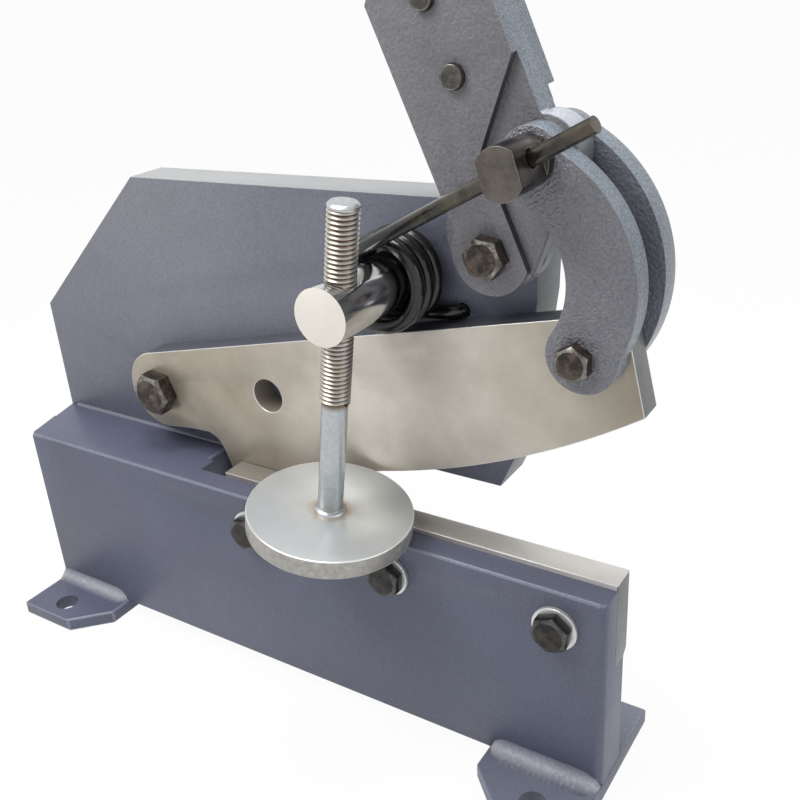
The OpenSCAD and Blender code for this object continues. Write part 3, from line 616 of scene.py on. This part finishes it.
worn_black = dark_steel("worn_black", (0.030, 0.026, 0.024), (0.165, 0.125, 0.100), 0.36, 170)
for bolt_name, nut_name, joint, across, shank in (
        ("blade_pivot_bolt", "blade_pivot_nut", "blade_swing", 19, 6),
        ("lever_pivot_bolt", "lever_pivot_nut", "lever_swing", 14, 5)):
    low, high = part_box(bolt_name)
    nut_low, nut_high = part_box(nut_name)
    head_tall = 1.28 * shank * mm
    at = pivot[joint]
    made = bolt(bolt_name + "_worn", Vector((at.x, low.y + head_tall, at.z)), across * mm, head_tall,
                shank * mm, high.y - low.y - head_tall, 7, "frame", worn_black)
    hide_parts(bolt_name)
    made = nut(nut_name + "_crowned", Vector((at.x, nut_low.y, at.z)), across * mm,
               nut_high.y - nut_low.y, shank * mm, 0, "frame", black_oxide)
    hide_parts(nut_name)
eased("pivot_washers", "frame", zinc, 0.3)

# Lever: three plates welded into one and painted together. The thin front plate is cut away
# along a slanted seam, the middle one carries the ear for the swivel pin, and the back one
# ends in a round boss. Their paint is coarser than the beam's.
lever_lean = math.radians(23)
lever_foot = pivot["lever_swing"]
lever_right = Vector((math.cos(lever_lean), 0, math.sin(lever_lean)))
lever_up = Vector((-math.sin(lever_lean), 0, math.cos(lever_lean)))
lever_paint = hammered_paint("lever_paint", (0.140, 0.138, 0.153), (0.196, 0.193, 0.211), 1.1, 0.34, 0.36)
# Painted highlight: lighter paint on the lever's and links' rolled edges, partly paint worn thin over
# them.
lever_rim = hammered_paint("lever_rim", (0.175, 0.182, 0.205), (0.275, 0.282, 0.310), 1.1, 0.16, 0.26)
front_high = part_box("lever_front_plate")[1]
ear_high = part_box("lever_ear_plate")[1]
back_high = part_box("lever_back_plate")[1]


def on_lever(at):
    """How far a point lies to the right of the lever's pivot line and above the pivot."""
    reach = at - lever_foot
    return reach.dot(lever_right) / mm, reach.dot(lever_up) / mm


# Painted light: faces that look to the right are painted a lighter teal with a strong sparkle, as if lit
# and glinting at a grazing angle.
flank_paint = hammered_paint("flank_paint", (0.085, 0.106, 0.134), (0.225, 0.262, 0.308), 0.8, 0.50, 0.22)
boss_paint = hammered_paint("boss_paint", (0.120, 0.126, 0.136), (0.165, 0.172, 0.184), 1.2, 0.06, 0.40)
# Painted highlight: the upward-looking walls of the ear and the back plate are painted pale, standing for
# the glossy highlight on them.
cap_paint = hammered_paint("cap_paint", (0.305, 0.318, 0.365), (0.440, 0.458, 0.515), 1.2, 0.16, 0.22)


def on_flank(face):
    return face.normal.x > 0.35 and abs(face.normal.y) < 0.3 and face.area > 4 * mm * mm


def front_edges(edge):
    at = middle(edge)
    return corner(edge) and at.y < front_high.y - 0.1 * mm


def ear_edges(edge):
    """Only the ear stands free of the front plate, so only its own rim is rounded."""
    at = middle(edge)
    right, up = on_lever(at)
    return corner(edge) and at.y < ear_high.y - 0.1 * mm and right > 12 and up < 50


def back_edges(edge):
    at = middle(edge)
    right, up = on_lever(at)
    return corner(edge) and at.y < back_high.y - 0.1 * mm and up < 12


front_plate = eased("lever_front_plate", "lever", lever_paint, 0.45, front_edges, rim=lever_rim)
reach = max(on_lever(vert.co)[0] for vert in front_plate.data.vertices)
# Painted shadow: the slanted step faces of the front plate's seam are painted nearly black, standing for
# the shadow in the step.
seam_paint = hammered_paint("seam_paint", (0.038, 0.040, 0.050), (0.062, 0.064, 0.078), 1.1, 0.1, 0.5)
recoat(front_plate, seam_paint, lambda face: face.normal.dot(lever_right) > 0.3
       and abs(face.normal.y) < 0.5 and on_lever(face.center)[0] < reach - 2)
recoat(front_plate, flank_paint, lambda face: on_flank(face) and on_lever(face.center)[0] > reach - 1)
# Low round the pivot, the front plate's rolled edges go back to the plain lever paint, without the
# painted edge highlight.
recoat(front_plate, lever_paint, lambda face: face.material_index == 1 and on_lever(face.center)[1] < 9
       and on_lever(face.center)[0] < 10)
for made in (eased("lever_ear_plate", "lever", lever_paint, 0.6, ear_edges),
             eased("lever_back_plate", "lever", lever_paint, 0.8, back_edges)):
    recoat(made, flank_paint, lambda face: on_flank(face) and on_lever(face.center)[1] > 50)
    recoat(made, boss_paint, lambda face: abs(face.normal.y) < 0.3 and on_lever(face.center)[1] < 50)
    recoat(made, cap_paint, lambda face: abs(face.normal.y) < 0.3 and 18 < on_lever(face.center)[1] < 50
           and face.normal.z > 0.3)

# Handle strap: flat bar behind the lever's plates. It narrows above them to a tongue, over
# which the handle tube is driven.


def strap_edges(edge):
    return corner(edge) and middle(edge).y > back_high.y + 0.1 * mm


made = eased("handle_strap", "lever", lever_paint, 0.7, strap_edges)
# The strap's right-hand faces take the painted light of the lever's flanks.
recoat(made, flank_paint, on_flank)

# Strap bolts: turned from behind through all the plates. Their rounded ends stand a little
# proud of the front plate and were painted over, then rubbed bare.
strap_low, strap_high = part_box("handle_strap")
bolts_low, bolts_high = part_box("strap_bolts")
rubbed_grey = dark_steel("rubbed_grey", (0.060, 0.058, 0.054), (0.190, 0.168, 0.140), 0.34, 200)
strap_head_wide = 14 * mm
strap_head_tall = 5.44 * mm
for count, up in enumerate((60, 86.8)):
    seat = lever_foot + lever_right * 12.7 * mm + lever_up * up * mm
    seat.y = strap_high.y
    head = hexagon(strap_head_wide, strap_head_tall, 0)
    crown(head, strap_head_wide, 0, strap_head_tall)
    roll_edges(head, 0.22)
    stem = round_bar(4.25 * mm, bolts_low.y - strap_high.y, 2 * mm)
    start_edit(stem)
    pick(stem, lambda face: face.normal.z < -0.9, "faces")
    bpy.ops.mesh.inset(thickness=0.7 * mm)
    bpy.ops.transform.translate(value=(0, 0, 0.3 * mm))
    bpy.ops.object.mode_set(mode="OBJECT")
    roll_edges(stem, 0.4, 15, 3)
    join(head, stem)
    head.name = "strap_bolt_%d" % (count + 1)
    head.rotation_euler = (-math.pi / 2, lever_lean, 0)
    head.location = seat
    settle(head, "lever", rubbed_grey)
    recoat(head, rubbed_edge, on_chamfer)
    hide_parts("strap_bolts")

# Handle tube and grip: a drawn steel tube pushed over the strap's tongue, and over its end a
# moulded rubber grip with a stop collar, finger rings and a domed end.


def profile(name, outline):
    """Starts a piece as a radius-and-height outline, in millimetres, and stays in edit mode."""
    bpy.ops.object.select_all(action="DESELECT")
    bpy.ops.mesh.primitive_plane_add(size=1)
    made = bpy.context.object
    made.name = name
    start_edit(made)
    bpy.ops.mesh.delete(type="VERT")
    mesh = bmesh.from_edit_mesh(made.data)
    points = [mesh.verts.new((radius * mm, 0, up * mm)) for radius, up in outline]
    for one, two in zip(points, points[1:]):
        mesh.edges.new((one, two))
    bmesh.update_edit_mesh(made.data)
    return made


def turned(name, outline):
    """Spins an outline once round the Z axis."""
    made = profile(name, outline)
    bpy.ops.mesh.select_all(action="SELECT")
    bpy.ops.mesh.spin(steps=72, angle=2 * math.pi, center=(0, 0, 0), axis=(0, 0, 1))
    bpy.ops.mesh.select_all(action="SELECT")
    bpy.ops.mesh.remove_doubles(threshold=0.001 * mm)
    bpy.ops.mesh.normals_make_consistent(inside=False)
    bpy.ops.object.mode_set(mode="OBJECT")
    return made


tube_start = 126
tube_end = 426
grip_start = tube_end - 118
tube_line = lever_foot + lever_right * 13 * mm
tube_line.y = centre(strap_low, strap_high).y
tube = turned("handle_tube_drawn", ((13.6, tube_start), (15.2, tube_start), (15.8, tube_start + 0.3),
                                    (16, tube_start + 1), (16, tube_end - 4), (13.6, tube_end - 4),
                                    (13.6, tube_start)))
tube.rotation_euler = (0, -lever_lean, 0)
tube.location = tube_line
tube_paint = hammered_paint("tube_paint", (0.118, 0.120, 0.145), (0.158, 0.160, 0.190), 1.1, 0.24, 0.38)
settle(tube, "lever", tube_paint)
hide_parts("handle_tube")

grip_outline = [(16.05, grip_start), (21.6, grip_start), (22.4, grip_start + 0.8),
                (22.4, grip_start + 4.2), (21.6, grip_start + 5), (19.4, grip_start + 6),
                (19, grip_start + 8)]
for ring in range(11):
    up = grip_start + 16 + 8 * ring
    grip_outline += [(19, up - 1.8), (18.3, up - 1.1), (18.1, up), (18.3, up + 1.1), (19, up + 1.8)]
grip_outline += [(19, tube_end - 1), (18.2, tube_end + 1.2), (16, tube_end + 2.5), (11, tube_end + 3),
                 (3.4, tube_end + 3), (2.8, tube_end + 2.4), (2.6, tube_end - 1), (0, tube_end - 1)]
grip = turned("handle_grip_moulded", grip_outline)
grip.rotation_euler = (0, -lever_lean, 0)
grip.location = tube_line
rubber, tree, surface, where = new_finish("grip_rubber")
bloom = noise(tree, where, (-900, 300), 90, 5, 0.6)
black = ramp(tree, (-600, 300), bloom, (0.35, (0.012, 0.012, 0.013)), (0.75, (0.030, 0.030, 0.032)))
feed(tree, black, surface.inputs["Base Color"])
dent(tree, surface, noise(tree, where, (-900, -200), 1600, 2), 0.05, 0.6)
surface.inputs["Roughness"].default_value = 0.62
settle(grip, "lever", rubber, 50)
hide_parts("handle_grip")

# Links: two cast crescents, one in front of the upper blade and one behind, with rounded rims
# under thick paint. The link bolt through their lower bosses carries the blade.
link_paint = hammered_paint("link_paint", (0.134, 0.137, 0.160), (0.215, 0.217, 0.240), 1.0, 0.90, 0.30)
rear_paint = hammered_paint("rear_link_paint", (0.105, 0.110, 0.138), (0.150, 0.157, 0.190), 1.2, 0.40,
                            0.36)
# The links' rims take the lever's painted edge highlight, and their right-hand faces take the painted
# light of its flanks.
for link, paint in (("front_link", link_paint), ("rear_link", rear_paint)):
    made = eased(link, "link", paint, 0.9, rim=lever_rim)
    recoat(made, flank_paint, lambda face: abs(face.normal.y) < 0.2 and face.normal.x > 0)
low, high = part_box("link_bolt")
link_head_wide = 12 * mm
link_head_tall = 5.12 * mm
link_at = Vector((centre(low, high).x, low.y + link_head_tall, centre(low, high).z))
made = bolt("link_bolt_worn", link_at, link_head_wide, link_head_tall, 4 * mm,
            high.y - low.y - link_head_tall, -29, "link", worn_black)
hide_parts("link_bolt")
nut_low, nut_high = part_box("link_nut")
made = nut("link_nut_crowned", Vector((link_at.x, nut_low.y, link_at.z)), link_head_wide,
           nut_high.y - nut_low.y, 4 * mm, 10, "link", black_oxide)
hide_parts("link_nut")

# Swivel pin: turned from bare bar, milled to two flats and cross-drilled for the spring's
# leg. A spring clip holds it behind the rear link.
pin_steel = dark_steel("pin_steel", (0.075, 0.066, 0.058), (0.165, 0.148, 0.130), 0.30, 60)
# Painted highlight: the pin's rolled edges are painted light grey, partly steel rubbed bright there.
bare_edge = dark_steel("bare_edge", (0.30, 0.28, 0.25), (0.62, 0.60, 0.56), 0.26, 90)
pin_flank = dark_steel("pin_flank", (0.022, 0.020, 0.018), (0.085, 0.076, 0.066), 0.28, 80)
made = eased("swivel_pin", "pin", pin_steel, 0.35, rim=bare_edge)
recoat(made, pin_flank, lambda face: abs(face.normal.y) < 0.3)
eased("pin_clip", "pin", black_oxide, 0.2)

# Torsion spring: one oiled wire. From its hook in the frame plate it winds three and a half
# turns round the post and runs out straight through the swivel pin.
wire_r = 2.75 * mm
post_at = pivot["spring_turn"]
pin_at = pivot["pin_turn"]
first_deg = -84.8
coil_r = 16.5 * mm
coil_pitch = 6.65 * mm
easing_deg = 150
leg_off = 15 * mm
leg_past_pin = 31.4 * mm
coil_rear = frame_face - wire_r - 0.3 * mm
reach = pin_at - post_at
leg_far = math.hypot(reach.x, reach.z)
leg_angle = math.atan2(reach.z, reach.x) - math.asin(leg_off / leg_far)
winding = 360 * 4 + first_deg - (math.degrees(leg_angle) + 90)
coil_front = coil_rear - coil_pitch * winding / 360
leg_run = math.sqrt(leg_far ** 2 - leg_off ** 2)
leg_slope = (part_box("swivel_pin")[0].y + 11.4 * mm - coil_front) / leg_run


def on_coil(turned_deg):
    """A point of the wire's centre line, which eases into the leg over the coil's last part."""
    angle = math.radians(first_deg - turned_deg)
    late = max(0, (turned_deg - winding + easing_deg) / easing_deg)
    radius = coil_r + (leg_off - coil_r) * late * late * (3 - 2 * late)
    return Vector((post_at.x + radius * math.cos(angle), coil_rear - coil_pitch * turned_deg / 360,
                   post_at.z + radius * math.sin(angle)))


first = math.radians(first_deg)
hook_way = Vector((-math.sin(first), 0, math.cos(first)))
coil_start = on_coil(0)


def on_hook(out_mm, back_mm):
    return coil_start + hook_way * out_mm * mm + Vector((0, back_mm * mm, 0))


leg_way = Vector((math.cos(leg_angle), leg_slope, math.sin(leg_angle)))
leg_root = on_coil(winding)
coil_steps = 220
leg_steps = 40
route = [on_hook(out_mm, back_mm) for out_mm, back_mm in (
    (21.6, 8.5), (21.6, 4.4), (21.4, 2.6), (20.6, 1.3), (19.3, 0.5), (17.5, 0.1), (15, 0), (7.5, 0))]
route += [on_coil(winding * step / coil_steps) for step in range(coil_steps + 1)]
route += [leg_root + leg_way * (leg_run + leg_past_pin) * step / leg_steps
          for step in range(1, leg_steps + 1)]
wire_line = bpy.data.curves.new("spring_route", "CURVE")
wire_line.dimensions = "3D"
wire_line.bevel_depth = wire_r
wire_line.bevel_resolution = 6
wire_line.use_fill_caps = True
thread = wire_line.splines.new("POLY")
thread.points.add(len(route) - 1)
for point, at in zip(thread.points, route):
    point.co = (*at, 1)
spring = bpy.data.objects.new("torsion_spring_wire", wire_line)
scene.collection.objects.link(spring)
choose(spring)
bpy.ops.object.convert(target="MESH")
spring = bpy.context.object
oiled_wire = dark_steel("oiled_wire", (0.014, 0.014, 0.015), (0.040, 0.040, 0.041), 0.26, 60)
tree = oiled_wire.node_tree
surface = tree.nodes["Principled BSDF"]
surface.inputs["Coat Weight"].default_value = 0.55
surface.inputs["Coat Roughness"].default_value = 0.07
where = where_on(oiled_wire)
flat = maths(tree, (-1000, 700), "MULTIPLY_ADD", where, (1, 0, 1), (-post_at.x, 0, -post_at.z),
             kind="ShaderNodeVectorMath")
outer = ranged(tree, (-600, 700), length(tree, (-800, 700), "LENGTH", flat), 30 * mm, 44 * mm)
varnish = ramp(tree, (-600, 900), noise(tree, where, (-900, 900), 110, 5, 0.65),
               (0.38, (0.018, 0.016, 0.013)), (0.68, (0.082, 0.066, 0.042)))
recolour(oiled_wire, outer, varnish)
roll_edges(spring, 0.35, 60, 2)
choose(spring)
bpy.ops.object.shade_smooth_by_angle(angle=math.radians(50))
wear(spring, oiled_wire)
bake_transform(spring)
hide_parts("torsion_spring")

# Hold-down post: bright turned and polished bar, cross-drilled for the rod. Its spigot goes
# through the frame plate to a washer and a nut.
bright, tree, surface, where = new_finish("polished_bar")
film = noise(tree, where, (-900, 300), 70, 5, 0.6)
tone = ramp(tree, (-600, 300), film, (0.35, (0.62, 0.62, 0.62)), (0.75, (0.74, 0.735, 0.72)))
feed(tree, tone, surface.inputs["Base Color"])
feed(tree, ranged(tree, (-600, 0), film, 0, 1, 0.09, 0.2), surface.inputs["Roughness"])
surface.inputs["Metallic"].default_value = 1
post_end = ground_steel("post_end", (0.76, 0.725, 0.66), (0.85, 0.815, 0.75), (60, 60, 60), 0.5,
                        (0.80, 0.76, 0.68), 0.2)
made = eased("hold_down_post", "post", bright, 0.7)
recoat(made, post_end, lambda face: face.normal.y < -0.9)
low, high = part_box("post_nut")
made = nut("post_nut_crowned", Vector((post_at.x, low.y, post_at.z)), 24 * mm, high.y - low.y, 8 * mm,
           0, "post", zinc)
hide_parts("post_nut")
eased("post_washer", "frame", zinc, 0.4)

# Hold-down rod: zinc plated, with a rolled M12 thread above and a plain shank below. It leans
# as the post has been left, and its thread is coloured light at the crests and dark brown in the grooves.
rod_lean = math.radians(9)
rod_at = Vector((post_at.x, -38.8 * mm, post_at.z))
thread_low = -39.5
thread_high = 39.1
rivet_down = 88.5
pitch = 1.75
crest = 5.9
root = 4.95
flank = ((root, 0), (root + 0.08, 0.16), (crest - 0.12, 0.68), (crest, 0.80), (crest, 0.98),
         (crest - 0.12, 1.10), (root + 0.08, 1.62), (root, pitch))
screw = profile("hold_down_rod_threaded", [(radius, thread_low + up) for radius, up in flank])
bpy.ops.object.mode_set(mode="OBJECT")
turn = screw.modifiers.new("turn", "SCREW")
turn.axis = "Z"
turn.angle = 2 * math.pi
turn.screw_offset = pitch * mm
turn.iterations = int((thread_high - thread_low - 1.6) / pitch)
turn.steps = 44
turn.render_steps = 44
turn.use_merge_vertices = True
turn.merge_threshold = 0.002 * mm
bpy.ops.object.modifier_apply(modifier=turn.name)
core = turned("rod_core", ((0, thread_high), (4.7, thread_high), (5.0, thread_high - 0.1),
                           (5.75, thread_high - 0.9), (5.8, thread_high - 1.9),
                           (5.0, thread_high - 2.5), (root - 0.02, thread_high - 3),
                           (root - 0.02, thread_low + 0.4), (5.1, thread_low - 0.4), (5.1, -87.0),
                           (5.4, -87.3), (6.0, -87.5), (6.4, -87.9), (6.6, -rivet_down), (5.1, -88.7),
                           (5.1, -92.4), (0, -92.4)))
join(screw, core)
screw.rotation_euler = (0, rod_lean, 0)
screw.location = rod_at
rod_zinc, tree, surface, where = new_finish("rod_zinc")
upright = node(tree, "ShaderNodeMapping", (-1050, 0), Vector=where, Rotation=(0, -rod_lean, 0),
               Location=-(Matrix.Rotation(-rod_lean, 3, "Y") @ rod_at)).outputs["Vector"]
flat = maths(tree, (-900, -200), "MULTIPLY", upright, (1, 1, 0), kind="ShaderNodeVectorMath")
outward = length(tree, (-750, -200), "LENGTH", flat)
mottle = noise(tree, upright, (-900, 300), 520, 4, 0.6)
thread_radius = maths(tree, (-600, -200), "MULTIPLY_ADD", mottle, 0.5 * mm, outward)
groove = ranged(tree, (-450, -200), thread_radius, (root + 0.30) * mm, (crest + 0.12) * mm)
tone = ramp(tree, (-300, 0), groove, (0, (0.17, 0.115, 0.070)), (0.45, (0.36, 0.31, 0.25)),
            (0.9, (0.56, 0.555, 0.535)))
shank_tone = ramp(tree, (-600, 600), mottle, (0.35, (0.43, 0.455, 0.475)), (0.7, (0.52, 0.545, 0.56)))
height = node(tree, "ShaderNodeSeparateXYZ", (-900, -500), Vector=upright).outputs["Z"]
above = ranged(tree, (-600, -500), height, -41 * mm, -38.5 * mm)
tip = ranged(tree, (-600, -800), height, (thread_high - 1.6) * mm, (thread_high - 1.0) * mm, 1, 0)
threaded = maths(tree, (-400, -600), "MULTIPLY", above, tip)
feed(tree, mixed(tree, (-100, 300), threaded, shank_tone, tone), surface.inputs["Base Color"])
surface.inputs["Roughness"].default_value = 0.36
surface.inputs["Metallic"].default_value = 0.85
settle(screw, "rod", rod_zinc, 40)
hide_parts("hold_down_rod")

# Hold-down disc: turned from bar, zinc plated, its rims broken by a small radius. Round the
# rod's riveted foot the plating has rusted a little.
disc_zinc = ground_steel("disc_zinc", (0.49, 0.51, 0.515), (0.55, 0.57, 0.575), (30, 30, 30), 0.33,
                         (0.53, 0.545, 0.54), 0.5, cut=0)
tree = disc_zinc.node_tree
foot_at = rod_at + Vector((-math.sin(rod_lean), 0, -math.cos(rod_lean))) * rivet_down * mm
where = where_on(disc_zinc)
ragged = noise(tree, where, (-900, 900), 380, 4, 0.6)
span = length(tree, (-900, 700), "DISTANCE", where, foot_at)
away = maths(tree, (-700, 800), "MULTIPLY_ADD", ragged, 5 * mm, span)
rust = ranged(tree, (-500, 800), away, 8.0 * mm, 12.5 * mm, 0.8, 0)
recolour(disc_zinc, rust, (0.42, 0.27, 0.13, 1))
disc_rim = ground_steel("disc_rim", (0.32, 0.305, 0.28), (0.41, 0.40, 0.375), (900, 900, 900), 0.42,
                        (0.66, 0.65, 0.62), 0.6, cloud_scale=420)
made = eased("hold_down_disc", "rod", disc_zinc, 0.7, rim=ground_edge)
recoat(made, disc_rim, lambda face: abs(face.normal.z) < 0.4)

# Stage: pale floor and a plain soft studio, darker overhead where steel mirrors it. The
# camera stands where the photographer stood.


def rays(tree):
    """The light path, and 1 for every ray that looks at the studio instead of lighting by it."""
    seen = node(tree, "ShaderNodeLightPath", (-600, 500))
    near = maths(tree, (-400, 500), "MAXIMUM", seen.outputs["Is Camera Ray"],
                 seen.outputs["Is Glossy Ray"])
    return seen, maths(tree, (-300, 500), "MAXIMUM", near, seen.outputs["Is Transmission Ray"])


bpy.ops.mesh.primitive_plane_add(size=16, location=(0.1, 0, -0.0004))
floor = bpy.context.object
floor.name = "floor"
white = bpy.data.materials.new("floor_white")
white.use_nodes = True
tree = white.node_tree
surface = tree.nodes["Principled BSDF"]
surface.inputs["Base Color"].default_value = (0.9, 0.9, 0.9, 1)
surface.inputs["Roughness"].default_value = 1
surface.inputs["Specular IOR Level"].default_value = 0
glow = node(tree, "ShaderNodeEmission", (0, 300), Color=(1, 1, 1, 1), Strength=1.0)
shown = maths(tree, (-200, 500), "MULTIPLY", rays(tree)[1], 0.95)
blend = node(tree, "ShaderNodeMixShader", (250, 200), Fac=shown)
feed(tree, surface.outputs["BSDF"], blend.inputs[1])
feed(tree, glow.outputs["Emission"], blend.inputs[2])
feed(tree, blend.outputs["Shader"], tree.nodes["Material Output"].inputs["Surface"])
floor.data.materials.append(white)

world = bpy.data.worlds.new("studio")
scene.world = world
world.use_nodes = True
tree = world.node_tree
air = tree.nodes["Background"]
air.inputs["Color"].default_value = (1, 1, 1, 1)
seen, looking = rays(tree)
level = ranged(tree, (-300, 200), looking, 0, 1, 0.42, 1)
sky_way = node(tree, "ShaderNodeTexCoord", (-1000, -200))
rise = node(tree, "ShaderNodeSeparateXYZ", (-800, -200), Vector=sky_way.outputs["Generated"])
ceiling = ranged(tree, (-600, -200), rise.outputs["Z"], 0.58, 0.76, 0, 0.62)
mirrored = maths(tree, (-400, -200), "MULTIPLY", ceiling, seen.outputs["Is Glossy Ray"])
feed(tree, maths(tree, (-200, 0), "SUBTRACT", level, mirrored), air.inputs["Strength"])


def lamp(name, place, aim, size, power, colour=(1, 1, 1)):
    light = bpy.data.lights.new(name, "AREA")
    light.shape = "DISK"
    light.size = size
    light.energy = power
    light.color = colour
    made = bpy.data.objects.new(name, light)
    scene.collection.objects.link(made)
    made.location = place
    made.rotation_mode = "QUATERNION"
    made.rotation_quaternion = (Vector(aim) - Vector(place)).to_track_quat("-Z", "Y")


middle_of_part = (0.13, 0.0, 0.14)
lamp("front_soft_box", (-0.05, -0.32, 0.74), middle_of_part, 0.4, 3.2, (1, 0.985, 0.965))
lamp("overhead_lamp", (0.16, 0.02, 1.0), middle_of_part, 0.3, 5.0)
lamp("right_fill", (1.2, 0.1, 0.7), middle_of_part, 0.9, 3, (0.93, 0.98, 1))

picture_px = 800
focal_px = 983.82
camera_at = (0.39832, -0.30196, 0.32100)
camera_data = bpy.data.cameras.new("photo_camera")
camera_data.sensor_width = 36
camera_data.lens = 36 * focal_px / picture_px
camera = bpy.data.objects.new("photo_camera", camera_data)
scene.collection.objects.link(camera)
pan = math.radians(-33.958)
tilt = math.radians(25.39)
roll = -0.0681
ahead = Vector((math.sin(pan) * math.cos(tilt), math.cos(pan) * math.cos(tilt), -math.sin(tilt)))
level_right = Vector((math.cos(pan), -math.sin(pan), 0))
level_up = level_right.cross(ahead)
right = math.cos(roll) * level_right + math.sin(roll) * level_up
up = -math.sin(roll) * level_right + math.cos(roll) * level_up
turned_to = Matrix((right, up, -ahead)).transposed().to_4x4()
camera.matrix_world = Matrix.Translation(camera_at) @ turned_to
scene.camera = camera
scene.view_settings.view_transform = "Standard"

bpy.context.view_layer.update()
